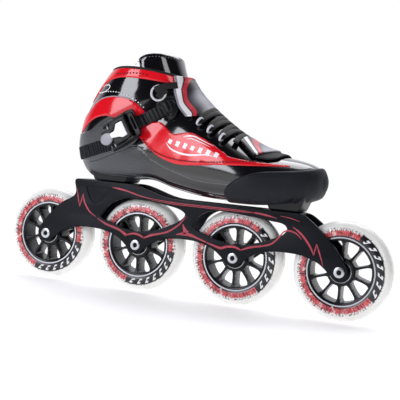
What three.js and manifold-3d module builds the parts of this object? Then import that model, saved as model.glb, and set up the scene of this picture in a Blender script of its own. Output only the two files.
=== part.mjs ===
// Inline speed skate, right foot: a low-cut boot bolted to a four-wheel aluminium frame.
// Millimetres. +X runs to the toe, +Z is up, -Y is the outer (lateral) side of the foot.
// The origin is on the ground, under the axle of the rear wheel, in the wheels' mid plane.

import * as THREE from 'three';
import { mergeVertices } from 'three/addons/utils/BufferGeometryUtils.js';
import Module from 'manifold-3d';

const wasm = await Module();
wasm.setup();

// ---------------------------------------------------------------- driving dimensions

const GAP = 0.3;                    // clearance kept between neighbouring pieces

const WHEEL_COUNT = 4;
const WHEEL_DIAMETER = 100;
const WHEEL_WIDTH = 24;
const WHEEL_GAP = 10;               // between the tyres of neighbouring wheels
const HUB_RADIUS = 34.6;            // outer face of the hub's rim, where the tyre begins
const HUB_RIM = 4.1;                // radial thickness of that rim
const SPOKE_COUNT = 10;
const SPOKE_THICKNESS = 2.5;
const BOSS_WALL = 2.4;              // hub wall round the bearings
const BEARING_LIP = 1.5;            // how far the hub's inner shoulder holds a bearing's edge
const BEARING_RADIUS = 11;
const BEARING_WIDTH = 7;
const AXLE_RADIUS = 4;
const AXLE_HEAD_RADIUS = 5.5;
const AXLE_HEAD_HEIGHT = 2.4;
const AXLE_SOCKET_RADIUS = 2.4;
const AXLE_SOCKET_DEPTH = 1.8;
const SLEEVE_WALL = 1.6;            // spacer sleeve between a wheel's two bearings

const FRAME_INNER_WIDTH = 29;       // between the two side plates
const PLATE_THICKNESS = 3.5;
const LUG_RADIUS = 9;               // round end of the plate about each axle
const LUG_BOSS_RADIUS = 6.6;        // boss on the plate's inner face that meets the bearing
const ARCH_RISE = 12.3;             // height of the plate's lower edge over the axles, between two wheels
const REAR_DECK_RISE = 14;          // rear deck's top over the tops of the wheels
const FRONT_DECK_RISE = 3;
const REAR_DECK_THICKNESS = 6;
const FRONT_DECK_THICKNESS = 5.5;
const FRONT_DECK_BACK = 25;         // front deck's reach behind and ahead of its bolt
const FRONT_DECK_NOSE = 17;
const TYRE_CLEARANCE = 2;           // between a tyre and the deck over it
const POCKET_DEPTH = 0.8;

const MOUNT_SPACING = 195;          // between the two bolts that hold the boot
const REAR_MOUNT_INSET = 92;        // rear bolt behind the middle of the wheelbase
const MOUNT_BOLT_RADIUS = 3;
const MOUNT_HEAD_RADIUS = 5.5;
const MOUNT_HEAD_HEIGHT = 3.5;
const MOUNT_SOCKET_RADIUS = 2.6;
const MOUNT_SOCKET_DEPTH = 2.1;
const REAR_MOUNT_THREAD = 5;        // length of bolt inside the boot's rear block
const FRONT_MOUNT_THREAD = 8.5;
const WASHER_RADIUS = 7;
const WASHER_THICKNESS = 1.2;
const MOUNT_BLOCK_WIDTH = 34;
const REAR_BLOCK_REACH = 19;        // half the length of a block's foot
const REAR_BLOCK_FLARE = 1.5;       // how much further its top reaches
const FRONT_BLOCK_REACH = 15.5;
const FRONT_BLOCK_FLARE = 9;

const BOOT_LENGTH = 272.5;
const BOOT_WIDTH = 95;
const BOOT_HEIGHT = 121;            // from the heel's sole to the top of the collar
const HEEL_SETBACK = 46;            // back of the heel behind the rear mounting bolt
const SHELL_WALL = 3;               // carbon shell and upper, which share one outer surface
const LINER_WALL = 3.6;
const INSOLE_THICKNESS = 3;
const PANEL_WALL = 1;
const BUMPER_WALL = 2;
const CUFF_WALL = 2.3;
const PAD_WALL = 3.5;
const STRAP_WALL = 2;
const BAND_WALL = 1.5;              // black webbing under the straps
const ANCHOR_WALL = 1.5;

const LACE_RADIUS = 1.8;
const LACE_ROWS = 6;
const LACE_LOOP_WIRE = 0.5;

const BUCKLE_ANGLE = THREE.MathUtils.degToRad(33);
const BUCKLE_WIDTH = 29;
const BUCKLE_WALL = 2.2;
const LEVER_LENGTH = 35;
const LEVER_THICKNESS = 2.8;
const BUCKLE_PIN_RADIUS = 1.5;
const PAWL_PIN_RADIUS = 1;
const LADDER_WIDTH = 13;
const LADDER_THICKNESS = 1.6;
const LADDER_ONTO_PAD = 8;          // overlap of the toothed strap on the instep pad

// ---------------------------------------------------------------- places worked out from them

// Corner radius of a regular outline whose flats lie at a given distance from its centre.
function facetRadius(apothem, segments) {
  return apothem / Math.cos(Math.PI / segments);
}

const AXLE_PITCH = WHEEL_DIAMETER + WHEEL_GAP;
const axleX = (index) => index * AXLE_PITCH;
const AXLE_Z = WHEEL_DIAMETER / 2;
const WHEELBASE = axleX(WHEEL_COUNT - 1);
const REAR_DECK_Z = WHEEL_DIAMETER + REAR_DECK_RISE;
const FRONT_DECK_Z = WHEEL_DIAMETER + FRONT_DECK_RISE;
const PLATE_INNER = FRAME_INNER_WIDTH / 2;
const PLATE_OUTER = PLATE_INNER + PLATE_THICKNESS;
const REAR_MOUNT_X = WHEELBASE / 2 - REAR_MOUNT_INSET;
const FRONT_MOUNT_X = REAR_MOUNT_X + MOUNT_SPACING;
const HEEL_X = REAR_MOUNT_X - HEEL_SETBACK;
const SOLE_Z = REAR_DECK_Z + 1;
const BOLT_CLEARANCE = facetRadius(MOUNT_BOLT_RADIUS + GAP, 12);

// ---------------------------------------------------------------- helpers

const skate = new THREE.Group();

function finish(color, metalness, roughness) {
  return new THREE.MeshStandardMaterial({ color, metalness, roughness });
}

const blackAnodised = finish('#2b2d34', 0.7, 0.45);
const brightSteel = finish('#b9bcc2', 1.0, 0.3);
const blackPlastic = finish('#17181b', 0.0, 0.45);
const silverPlastic = finish('#c4c5cb', 0.3, 0.35);
const urethane = finish('#d9d8d2', 0.0, 0.35);
const carbon = finish('#4a4b50', 0.1, 0.35);
const blackPatent = finish('#0d0d10', 0.0, 0.15);
const redPatent = finish('#d3202c', 0.0, 0.2);
const rubber = finish('#33353a', 0.0, 0.7);
const padding = finish('#1b1b1e', 0.0, 0.8);
const silverCloth = finish('#cfd0da', 0.2, 0.45);

function solid(geometry) {
  const bare = geometry.index ? geometry.toNonIndexed() : geometry;
  bare.deleteAttribute('normal');
  bare.deleteAttribute('uv');
  const merged = mergeVertices(bare, 1e-4);
  const mesh = new wasm.Mesh({
    numProp: 3,
    vertProperties: new Float32Array(merged.attributes.position.array),
    triVerts: new Uint32Array(merged.index.array),
  });
  return new wasm.Manifold(mesh);
}

function toGeometry(manifold) {
  const mesh = manifold.getMesh();
  const geometry = new THREE.BufferGeometry();
  geometry.setAttribute('position', new THREE.BufferAttribute(mesh.vertProperties, 3));
  geometry.setIndex(new THREE.BufferAttribute(mesh.triVerts, 1));
  return geometry;
}

function addPiece(name, manifold, material) {
  const mesh = new THREE.Mesh(toGeometry(manifold), material);
  mesh.name = name;
  skate.add(mesh);
  return mesh;
}

// A ring or a turned piece about an axis along Y: the profile holds [radius, y] pairs, and runs
// either from axis to axis or round a closed loop.
function turned(profile, segments, phase = 0) {
  const points = profile.map(([radius, y]) => new THREE.Vector2(radius, y));
  if (profile[0][0] > 0) points.push(points[0].clone());
  return solid(new THREE.LatheGeometry(points, segments, phase));
}

function box(x0, x1, y0, y1, z0, z1) {
  const geometry = new THREE.BoxGeometry(x1 - x0, y1 - y0, z1 - z0);
  geometry.translate((x0 + x1) / 2, (y0 + y1) / 2, (z0 + z1) / 2);
  return solid(geometry);
}

// A side-view outline of [x, z] points, or a THREE.Shape, made solid between two values of y.
function prism(outline, y0, y1) {
  const shape = Array.isArray(outline)
    ? new THREE.Shape(outline.map(([x, z]) => new THREE.Vector2(x, z)))
    : outline;
  const geometry = new THREE.ExtrudeGeometry(shape, {
    depth: y1 - y0, bevelEnabled: false, curveSegments: 5,
  });
  geometry.rotateX(Math.PI / 2);
  geometry.translate(0, y1, 0);
  return solid(geometry);
}

// A smooth stretch of an outline through a few [x, z] points.
function smooth(points, steps) {
  const curve = new THREE.SplineCurve(points.map(([x, z]) => new THREE.Vector2(x, z)));
  return curve.getPoints(steps).map((point) => [point.x, point.y]);
}

function rod(radius, from, to, segments = 12) {
  const start = new THREE.Vector3(...from);
  const axis = new THREE.Vector3(...to).sub(start);
  const geometry = new THREE.CylinderGeometry(radius, radius, axis.length(), segments);
  geometry.applyQuaternion(
    new THREE.Quaternion().setFromUnitVectors(new THREE.Vector3(0, 1, 0), axis.clone().normalize()));
  geometry.translate(...start.addScaledVector(axis, 0.5).toArray());
  return solid(geometry);
}

// ---------------------------------------------------------------- wheels

const TYRE_SEGMENTS = 24;
const HUB_SEGMENTS = 24;
const BEARING_SEGMENTS = 12;
const AXLE_SEGMENTS = 12;

// The tyre's crown is a narrow flat band, so that the wheel rests on a real flat at the ground.
function tyreSolid() {
  const half = WHEEL_WIDTH / 2;
  const depth = AXLE_Z - HUB_RADIUS;
  const side = [
    [HUB_RADIUS + 0.5, half * 0.95],
    [HUB_RADIUS + 0.42 * depth, half],
    [HUB_RADIUS + 0.72 * depth, half * 0.83],
    [HUB_RADIUS + 0.92 * depth, half * 0.52],
    [AXLE_Z, half * 0.18],
  ];
  const profile = [
    ...side.map(([radius, y]) => [facetRadius(radius, TYRE_SEGMENTS), -y]),
    ...side.reverse().map(([radius, y]) => [facetRadius(radius, TYRE_SEGMENTS), y]),
  ];
  return turned(profile, TYRE_SEGMENTS, Math.PI / TYRE_SEGMENTS);
}

function hubSolid() {
  const rimHalf = WHEEL_WIDTH / 2 - 1;
  const seat = facetRadius(BEARING_RADIUS + GAP, BEARING_SEGMENTS);
  const bossRadius = seat + BOSS_WALL;
  const bossHalf = WHEEL_WIDTH / 2 - 0.2;
  const shoulder = bossHalf - BEARING_WIDTH;
  const rim = turned([
    [HUB_RADIUS - HUB_RIM, -rimHalf],
    [HUB_RADIUS, -rimHalf],
    [HUB_RADIUS, rimHalf],
    [HUB_RADIUS - HUB_RIM, rimHalf],
  ], HUB_SEGMENTS);
  const boss = turned([
    [seat, -bossHalf],
    [bossRadius, -bossHalf],
    [bossRadius, bossHalf],
    [seat, bossHalf],
    [seat, shoulder],
    [BEARING_RADIUS - BEARING_LIP, shoulder],
    [BEARING_RADIUS - BEARING_LIP, -shoulder],
    [seat, -shoulder],
  ], HUB_SEGMENTS / 2);
  let hub = rim.add(boss);
  for (let index = 0; index < SPOKE_COUNT; index += 1) {
    const spoke = new THREE.BoxGeometry(
      HUB_RADIUS - HUB_RIM / 2 - bossRadius + BOSS_WALL / 2, rimHalf * 1.8, SPOKE_THICKNESS);
    spoke.translate((HUB_RADIUS - HUB_RIM / 2 + bossRadius - BOSS_WALL / 2) / 2, 0, 0);
    spoke.rotateY((index + 0.5) * 2 * Math.PI / SPOKE_COUNT);
    hub = hub.add(solid(spoke));
  }
  return hub;
}

function bearingSolid(side) {
  const outer = WHEEL_WIDTH / 2 * side;
  const inner = (WHEEL_WIDTH / 2 - BEARING_WIDTH + GAP) * side;
  const [low, high] = side < 0 ? [outer, inner] : [inner, outer];
  const bore = facetRadius(AXLE_RADIUS + GAP, BEARING_SEGMENTS);
  return turned([
    [bore, low],
    [BEARING_RADIUS, low],
    [BEARING_RADIUS, high],
    [bore, high],
  ], BEARING_SEGMENTS);
}

function sleeveSolid() {
  const half = WHEEL_WIDTH / 2 - BEARING_WIDTH;
  const bore = facetRadius(AXLE_RADIUS + GAP, AXLE_SEGMENTS);
  return turned([
    [bore, -half],
    [bore + SLEEVE_WALL, -half],
    [bore + SLEEVE_WALL, half],
    [bore, half],
  ], AXLE_SEGMENTS);
}

const HEAD_SINK = AXLE_HEAD_HEIGHT * 0.6;     // how far the axle's head sits in the plate

function axleSolid() {
  const seat = -PLATE_OUTER + HEAD_SINK;
  const face = seat - AXLE_HEAD_HEIGHT;
  return turned([
    [0, face + AXLE_SOCKET_DEPTH],
    [AXLE_SOCKET_RADIUS, face + AXLE_SOCKET_DEPTH],
    [AXLE_SOCKET_RADIUS, face],
    [AXLE_HEAD_RADIUS - 0.6, face],
    [AXLE_HEAD_RADIUS, face + 0.6],
    [AXLE_HEAD_RADIUS, seat],
    [AXLE_RADIUS, seat],
    [AXLE_RADIUS, PLATE_OUTER - 0.6],
    [0, PLATE_OUTER - 0.6],
  ], AXLE_SEGMENTS);
}

for (let index = 0; index < WHEEL_COUNT; index += 1) {
  const pieces = [
    ['tyre', tyreSolid(), urethane],
    ['hub', hubSolid(), blackPlastic],
    ['bearing_lateral', bearingSolid(-1), brightSteel],
    ['bearing_medial', bearingSolid(1), brightSteel],
    ['axle_sleeve', sleeveSolid(), brightSteel],
    ['axle_bolt', axleSolid(), brightSteel],
  ];
  for (const [name, manifold, material] of pieces) {
    const mesh = addPiece(`wheel_${index + 1}_${name}`, manifold, material);
    mesh.position.set(axleX(index), 0, AXLE_Z);
  }
}

// ---------------------------------------------------------------- frame

// The side plate: a heel shelf, a long low rail, a raked nose and an arch between each two lugs.
function plateShape() {
  const rearTop = REAR_DECK_Z;
  const railTop = FRONT_DECK_Z;
  const railStart = axleX(1) + 33;
  const noseStart = axleX(3) - 44;
  const shape = new THREE.Shape();
  shape.moveTo(31, rearTop - 3);
  shape.quadraticCurveTo(31, rearTop, 34, rearTop);
  shape.lineTo(axleX(1) - 26, rearTop);
  shape.bezierCurveTo(axleX(1), rearTop, axleX(1) + 14, railTop + 1, railStart, railTop);
  shape.lineTo(noseStart, railTop);
  shape.bezierCurveTo(
    noseStart + 14, railTop - 3, WHEELBASE + LUG_RADIUS - 6, AXLE_Z + 24, WHEELBASE + LUG_RADIUS, AXLE_Z);
  for (let index = WHEEL_COUNT - 1; index >= 0; index -= 1) {
    const x = axleX(index);
    const left = x - LUG_RADIUS * 0.85;
    const foot = AXLE_Z - LUG_RADIUS * 0.53;
    shape.absarc(x, AXLE_Z, LUG_RADIUS, index === WHEEL_COUNT - 1 ? 0 : -0.56, Math.PI + 0.56, true);
    if (index > 0) {
      const span = AXLE_PITCH * 0.3;
      const peak = AXLE_Z + ARCH_RISE * 1.33 + LUG_RADIUS * 0.18;
      shape.bezierCurveTo(
        left - span, peak, axleX(index - 1) + LUG_RADIUS * 0.85 + span, peak,
        axleX(index - 1) + LUG_RADIUS * 0.85, foot);
    }
  }
  shape.absarc(0, AXLE_Z, LUG_RADIUS, Math.PI + 0.56, Math.PI, true);
  shape.bezierCurveTo(-5, AXLE_Z + 20, 14, AXLE_Z + 38, 29, AXLE_Z + 44);
  shape.quadraticCurveTo(35, AXLE_Z + 48, 31, rearTop - 3);
  return shape;
}

// The two see-through windows, over the second and the third wheel.
const rearWindow = () => {
  const x = axleX(1);
  return [
    ...smooth([[x - 45, AXLE_Z + 26], [x - 34, AXLE_Z + 40.5], [x - 17, AXLE_Z + 48], [x, AXLE_Z + 48.7],
      [x + 30, AXLE_Z + 46], [x + 50, AXLE_Z + 42.5], [x + 54.5, AXLE_Z + 37]], 12),
    ...smooth([[x + 48, AXLE_Z + 31.5], [x + 27, AXLE_Z + 20.5], [x + 4, AXLE_Z + 14.8],
      [x - 14, AXLE_Z + 16], [x - 32, AXLE_Z + 21], [x - 43.5, AXLE_Z + 24.5]], 9),
  ];
};
const frontWindow = () => {
  const x = axleX(2);
  return [
    ...smooth([[x - 47.5, AXLE_Z + 27.5], [x - 43, AXLE_Z + 36], [x - 34, AXLE_Z + 43.5],
      [x - 22, AXLE_Z + 46.5], [x, AXLE_Z + 46], [x + 36, AXLE_Z + 42], [x + 51, AXLE_Z + 40],
      [x + 54.5, AXLE_Z + 36]], 12),
    ...smooth([[x + 50, AXLE_Z + 30], [x + 37, AXLE_Z + 23.5], [x + 20, AXLE_Z + 17],
      [x - 2, AXLE_Z + 13.6], [x - 26, AXLE_Z + 18.5], [x - 46, AXLE_Z + 25.5]], 9),
  ];
};

// The shallow rounded-triangle recess in the heel of each plate.
const heelPocket = () => smooth([
  [46, REAR_DECK_Z - 7.5], [60, REAR_DECK_Z - 6.5], [74, REAR_DECK_Z - 8.5], [67, REAR_DECK_Z - 18.5],
  [57, REAR_DECK_Z - 24.5], [50, REAR_DECK_Z - 17], [46, REAR_DECK_Z - 7.5]], 18).slice(0, -1);

// The front deck starts behind its bolt, and no nearer to the third wheel than its tyre allows.
const deckOverAxle = FRONT_DECK_Z - FRONT_DECK_THICKNESS - AXLE_Z;
const tyreReach = Math.sqrt(Math.max(0, (AXLE_Z + TYRE_CLEARANCE) ** 2 - deckOverAxle ** 2));
const FRONT_DECK_START = Math.max(FRONT_MOUNT_X - FRONT_DECK_BACK, axleX(2) + tyreReach);

function frameSolid() {
  const windows = [rearWindow(), frontWindow()];
  const reach = PLATE_OUTER + 1;
  let frame = prism(plateShape(), -PLATE_OUTER, -PLATE_INNER).add(
    prism(plateShape(), PLATE_INNER, PLATE_OUTER));
  frame = frame.add(box(32, axleX(1) - 14, -PLATE_INNER - 1, PLATE_INNER + 1,
    REAR_DECK_Z - REAR_DECK_THICKNESS, REAR_DECK_Z));
  frame = frame.add(box(FRONT_DECK_START, FRONT_MOUNT_X + FRONT_DECK_NOSE,
    -PLATE_INNER - 1, PLATE_INNER + 1, FRONT_DECK_Z - FRONT_DECK_THICKNESS, FRONT_DECK_Z));
  for (const outline of windows) frame = frame.subtract(prism(outline, -reach, reach));
  for (const side of [-1, 1]) {
    const faces = [side * (PLATE_OUTER + 1), side * (PLATE_OUTER - POCKET_DEPTH)];
    frame = frame.subtract(prism(heelPocket(), Math.min(...faces), Math.max(...faces)));
  }
  for (let index = 0; index < WHEEL_COUNT; index += 1) {
    const at = [axleX(index), 0, AXLE_Z];
    const bossInner = WHEEL_WIDTH / 2 + GAP;
    for (const side of [-1, 1]) {
      const low = Math.min(side * bossInner, side * (PLATE_INNER + 1));
      const high = Math.max(side * bossInner, side * (PLATE_INNER + 1));
      const boss = turned([
        [0, low],
        [LUG_BOSS_RADIUS, low],
        [LUG_BOSS_RADIUS, high],
        [0, high],
      ], AXLE_SEGMENTS);
      frame = frame.add(boss.translate(at));
    }
    const bore = facetRadius(AXLE_RADIUS + GAP, AXLE_SEGMENTS);
    const counterbore = facetRadius(AXLE_HEAD_RADIUS + GAP, AXLE_SEGMENTS);
    const step = -PLATE_OUTER + HEAD_SINK + GAP;
    const hole = turned([[0, -reach], [counterbore, -reach], [counterbore, step], [bore, step],
      [bore, reach], [0, reach]], AXLE_SEGMENTS);
    frame = frame.subtract(hole.translate(at));
  }
  for (const x of [REAR_MOUNT_X, FRONT_MOUNT_X]) {
    frame = frame.subtract(rod(BOLT_CLEARANCE, [x, 0, AXLE_Z], [x, 0, REAR_DECK_Z + 5]));
  }
  return frame;
}
addPiece('frame', frameSolid(), blackAnodised);

// A bolt from below, through a washer and the deck, into the boot's block.
for (const [name, x, deckTop, deckThickness, thread] of [
  ['rear', REAR_MOUNT_X, REAR_DECK_Z, REAR_DECK_THICKNESS, REAR_MOUNT_THREAD],
  ['front', FRONT_MOUNT_X, FRONT_DECK_Z, FRONT_DECK_THICKNESS, FRONT_MOUNT_THREAD],
]) {
  const deckBottom = deckTop - deckThickness;
  const washerTop = deckBottom - GAP;
  const headTop = washerTop - WASHER_THICKNESS - GAP;
  const washer = rod(WASHER_RADIUS, [x, 0, washerTop - WASHER_THICKNESS], [x, 0, washerTop], 18).subtract(
    rod(BOLT_CLEARANCE, [x, 0, washerTop - 5], [x, 0, washerTop + 5]));
  const head = rod(MOUNT_HEAD_RADIUS, [x, 0, headTop - MOUNT_HEAD_HEIGHT], [x, 0, headTop], 18);
  const shank = rod(MOUNT_BOLT_RADIUS, [x, 0, headTop - 1], [x, 0, deckTop + thread]);
  const headBottom = headTop - MOUNT_HEAD_HEIGHT;
  const socket = rod(
    MOUNT_SOCKET_RADIUS, [x, 0, headBottom - 1], [x, 0, headBottom + MOUNT_SOCKET_DEPTH], 6);
  addPiece(`mount_washer_${name}`, washer, brightSteel);
  addPiece(`mount_bolt_${name}`, head.add(shank).subtract(socket), brightSteel);
}

// ---------------------------------------------------------------- boot last

// The boot is drawn on one last. Each station is a slice through the foot, from the toe cap, along
// the forefoot, round the heel and up the ankle: [instep x, z], [sole or heel x, z], middle y, half
// width, and how square its sole side is. x runs from the back of the heel, z from the heel's sole.
const LAST_LENGTH = 272.5;
const LAST_WIDTH = 95;
const LAST_HEIGHT = 121;
const STATIONS = [
  [[272.5, 27], [272.5, 11], 12, 9, 0.9],
  [[269, 32.5], [269, 5], 10.5, 19, 0.8],
  [[261, 37], [261, 1], 7, 29, 0.72],
  [[249, 40], [249, -3], 4, 37, 0.66],
  [[230, 42.5], [230, -5], 1, 44, 0.62],
  [[209, 47.5], [207, -5.5], -1, 47.3, 0.6],
  [[187, 58], [181, -5.5], -2.3, 46, 0.6],
  [[169, 69.5], [153, -4], -3.8, 42.3, 0.62],
  [[154, 80.5], [123, 0], -3.8, 38.3, 0.66],
  [[144, 89], [94, 4], -2.8, 35.8, 0.7],
  [[137, 95], [63, 2.5], -1, 34.6, 0.76],
  [[133, 99], [35, 0.8], 0, 34.4, 0.82],
  [[130.5, 101.5], [16.5, 4.5], 0, 34.8, 0.86],
  [[128.5, 104], [5, 16], 0, 35.6, 0.88],
  [[126.5, 106.5], [0.2, 32], 0, 36.4, 0.88],
  [[124.5, 109], [0.6, 49], 0, 37, 0.88],
  [[122, 112], [5, 67.5], 0, 37, 0.88],
  [[120, 116], [13.5, 86], 0, 36.4, 0.9],
  [[117, 123.5], [24, 106], 0, 36, 0.92],
  [[113.5, 133], [34, 123], 0, 35.6, 0.95],
  [[110, 144], [42, 141], 0, 34.6, 1],
];
const lastX = (x) => HEEL_X + x * BOOT_LENGTH / LAST_LENGTH;
const lastY = (y) => y * BOOT_WIDTH / LAST_WIDTH;
const lastZ = (z) => SOLE_Z + z * BOOT_HEIGHT / LAST_HEIGHT;
const onLast = (points) => points.map(([x, z]) => [lastX(x), lastZ(z)]);

const instepLine = new THREE.CatmullRomCurve3(
  STATIONS.map(([top]) => new THREE.Vector3(lastX(top[0]), 0, lastZ(top[1]))));
const soleLine = new THREE.CatmullRomCurve3(
  STATIONS.map(([, bottom]) => new THREE.Vector3(lastX(bottom[0]), 0, lastZ(bottom[1]))));
const girth = new THREE.CatmullRomCurve3(
  STATIONS.map(([, , middle, half, square]) => new THREE.Vector3(lastY(middle), lastY(half), square)));

const RINGS = 20;
const AROUND = 20;

// A point of the last's skin: t runs from toe to ankle, turn from the sole round the lateral side.
function lastPoint(t, turn) {
  const top = instepLine.getPoint(t);
  const bottom = soleLine.getPoint(t);
  const { x: middle, y: half, z: square } = girth.getPoint(t);
  const up = Math.cos(turn * 2 * Math.PI);
  const out = Math.sin(turn * 2 * Math.PI);
  const power = up > 0 ? square : 0.95;
  const along = Math.sign(up) * Math.abs(up) ** power;
  const point = top.clone().add(bottom).multiplyScalar(0.5);
  point.addScaledVector(bottom.clone().sub(top), along / 2);
  point.y = middle - Math.sign(out) * half * Math.abs(out) ** power;
  return point;
}

function skinPoint(t, turn, offset) {
  const step = 0.004;
  const point = lastPoint(t, turn);
  const along = lastPoint(Math.min(t + step, 1), turn).sub(lastPoint(Math.max(t - step, 0), turn));
  const around = lastPoint(t, turn + step).sub(lastPoint(t, turn - step));
  const normal = around.cross(along).normalize();
  return point.addScaledVector(normal, offset);
}

// The whole last, grown or shrunk by an offset, as one closed solid; lift opens a hollow's mouth.
function lastSolid(offset, lift = 0) {
  const positions = [];
  const index = [];
  for (let ring = 0; ring <= RINGS; ring += 1) {
    for (let step = 0; step < AROUND; step += 1) {
      const point = skinPoint(ring / RINGS, step / AROUND, offset);
      if (ring === RINGS) point.z += lift;
      positions.push(...point.toArray());
    }
  }
  for (let ring = 0; ring < RINGS; ring += 1) {
    for (let step = 0; step < AROUND; step += 1) {
      const next = (step + 1) % AROUND;
      const a = ring * AROUND + step;
      const b = ring * AROUND + next;
      index.push(a, b, a + AROUND, b, b + AROUND, a + AROUND);
    }
  }
  for (const [ring, flip] of [[0, false], [RINGS, true]]) {
    for (let step = 1; step < AROUND - 1; step += 1) {
      const fan = [ring * AROUND, ring * AROUND + step, ring * AROUND + step + 1];
      index.push(...(flip ? fan : fan.reverse()));
    }
  }
  const geometry = new THREE.BufferGeometry();
  geometry.setAttribute('position', new THREE.Float32BufferAttribute(positions, 3));
  geometry.setIndex(index);
  return solid(geometry);
}

// A skin between two offsets from the last, and the parts of it that a side-view outline keeps.
const MOUTH_LIFT = 14;
const skins = new Map();
function layer(outer, inner) {
  const key = `${outer} ${inner}`;
  if (!skins.has(key)) skins.set(key, lastSolid(outer).subtract(lastSolid(inner, MOUTH_LIFT)));
  return skins.get(key);
}
const FAR = 120;
const through = (outline, y0 = -FAR, y1 = FAR) => prism(onLast(outline), y0, y1);

// ---------------------------------------------------------------- boot outlines, in last coordinates

const collarLine = (drop = 0) => smooth([[-10, 121.5 - drop], [30, 121.5 - drop], [60, 121.5 - drop],
  [90, 120 - drop], [125, 113.5 - drop]], 10);
const aboveCollar = (drop) => [...collarLine(drop), [160, 113.5], [160, 190], [-10, 190]];
const belowCollar = (drop) => [...collarLine(drop), [320, 113.5 - drop], [320, -40], [-10, -40]];

// The carbon shell's upper edge: a cup round the heel, dipping to a low rim along the foot.
const shellEdge = (rise) => [[-20, 33 + rise], [58, 34 + rise],
  ...smooth([[82, 40 + rise], [90.5, 36 + rise], [100.6, 26.5 + rise], [135, 15.3 + rise],
    [158, 10.3 + rise], [185, 10 + rise]], 9), [320, 12 + rise]];

const tongueArea = (grow) => [
  ...smooth([[214 + grow, 46], [206, 37 - grow], [185, 33 - grow], [150, 47 - grow],
    [112 - grow, 77 - grow], [90 - grow, 100 - grow], [77 - grow, 120], [69 - grow, 146]], 11),
  [69 - grow, 180], [320, 180], [320, 46]];
const tongueTop = () => smooth([[60, 122], [70, 132], [77, 138], [90, 140.5], [130, 141.5]], 8);
const throatArea = () => [
  ...smooth([[203, 60], [200, 46], [186, 45], [160, 60], [132, 85], [112, 100], [100, 122]], 9),
  [84, 170], [240, 170]];

const bumperArea = () => [
  [185.3, -14], [186.4, 2], ...smooth([[187.5, 5], [192, 10.6], [204.5, 19.5], [219.7, 24.7],
    [249.7, 28.9], [264, 32], [272, 36]], 8), [300, 40], [300, -14]];
const quarterArea = () => [
  ...smooth([[95.7, 41.6], [89.8, 54.6], [96, 62.5], [104.8, 63.9], [114.5, 56.4], [126.1, 51.7],
    [135.9, 53.5], [146, 56], [164.5, 50.7], [184, 42]], 16),
  ...smooth([[186, 36.5], [190, 34.6], [213.5, 34.6], [248, 31.5]], 4),
  ...smooth([[244, 30.2], [210, 26.5], [177.8, 24.5], [145.4, 24.5], [128.6, 27.4], [105.4, 35.6]], 7)];
const heelPanelArea = () => [
  [-20, 75], ...smooth([[20, 75], [42.4, 87.3], [54, 89.5], [75.3, 85.7], [91.3, 74.3]], 8),
  [79.3, 68.6], ...smooth([[61.9, 68.6], [44.3, 68.3], [35.2, 64.7], [20.6, 55.4]], 5), [-20, 53]];
const collarArea = () => [
  ...collarLine(0.6), [114.8, 109.5],
  ...smooth([[106, 105], [81, 108.5], [56, 107.5], [38, 98], [26, 91]], 8), [-10, 90]];
const cuffArea = () => [
  [-20, 48.5], ...smooth([[14, 48.5], [27.8, 53.5], [44.8, 63.2], [54, 67], [66, 67.4]], 6),
  ...smooth([[80, 64], [86, 55], [82, 45], [72, 36.5], [52, 27.5], [38, 21.5], [25, 18.5]], 8), [-20, 23]];
const padArea = () => smooth([[100.4, 85.2], [112, 91.5], [120, 92], [127, 84], [130, 78], [127, 71.5],
  [121.4, 66.1], [112, 69.5], [105, 76.5], [100.4, 85.2]], 18).slice(0, -1);
const shinStrapArea = () => [[114, 114], ...smooth([[117.4, 106], [126, 90], [136.4, 73.3]], 4),
  [147, 75], [157, 80], [190, 110], [140, 140]];
const toeStrapArea = () => [[197.5, 49.5], [213, 39], [233.5, 50.5], [250, 75], [190, 80]];
const toeBaseArea = () => [[212, 37], [225, 35.8], [233, 38], [236.5, 49], [240, 75], [205, 75]];
const instepBand = () => [[57, 58], [72, 41], [141, 99], [150, 120], [130, 122]];
const anchorArea = () => smooth([[48, 47], [56, 39], [70, 45], [80, 57], [73, 66], [60, 60], [48, 47]], 14)
  .slice(0, -1);

// ---------------------------------------------------------------- boot shell, upper and lining

// A block under the carbon shell, tapering down to the deck that it is bolted to.
const BLOCK_TOP = SOLE_Z + 6;
function mountBlock(x, deckZ, thread, reach, flare) {
  const half = MOUNT_BLOCK_WIDTH / 2;
  const low = deckZ + GAP;
  const block = prism([[x - reach, low], [x + reach, low], [x + reach + flare, BLOCK_TOP],
    [x - reach - flare, BLOCK_TOP]], -half, half);
  const bore = rod(BOLT_CLEARANCE, [x, 0, low - 1], [x, 0, deckZ + thread + GAP]);
  return { block, bore };
}

const SHELL_INNER = -SHELL_WALL;
const LINER_OUTER = SHELL_INNER - GAP;
const LINER_INNER = LINER_OUTER - LINER_WALL;
const FOOT_INNER = LINER_INNER - GAP;

const rearBlock = mountBlock(
  REAR_MOUNT_X, REAR_DECK_Z, REAR_MOUNT_THREAD, REAR_BLOCK_REACH, REAR_BLOCK_FLARE);
const frontBlock = mountBlock(
  FRONT_MOUNT_X, FRONT_DECK_Z, FRONT_MOUNT_THREAD, FRONT_BLOCK_REACH, FRONT_BLOCK_FLARE);
const shellHollow = lastSolid(SHELL_INNER, MOUTH_LIFT);
let carbonShell = layer(0, SHELL_INNER).subtract(through([...shellEdge(0), [320, 200], [-20, 200]]));
for (const { block, bore } of [rearBlock, frontBlock]) {
  carbonShell = carbonShell.add(block.subtract(shellHollow)).subtract(bore);
}
addPiece('carbon_shell', carbonShell, carbon);

const throat = through(throatArea(), -16, 16);
const bootUpper = layer(0, SHELL_INNER)
  .subtract(through([...shellEdge(GAP), [320, -60], [-20, -60]]))
  .subtract(through(aboveCollar(0)))
  .subtract(throat);
addPiece('boot_upper', bootUpper, blackPatent);

const belowTongueTop = through([...tongueTop(), [320, 141.5], [320, -40], [60, -40]]);
addPiece('tongue', layer(LINER_OUTER, LINER_INNER - 1)
  .intersect(through(tongueArea(0)))
  .intersect(belowTongueTop), padding);

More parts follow.
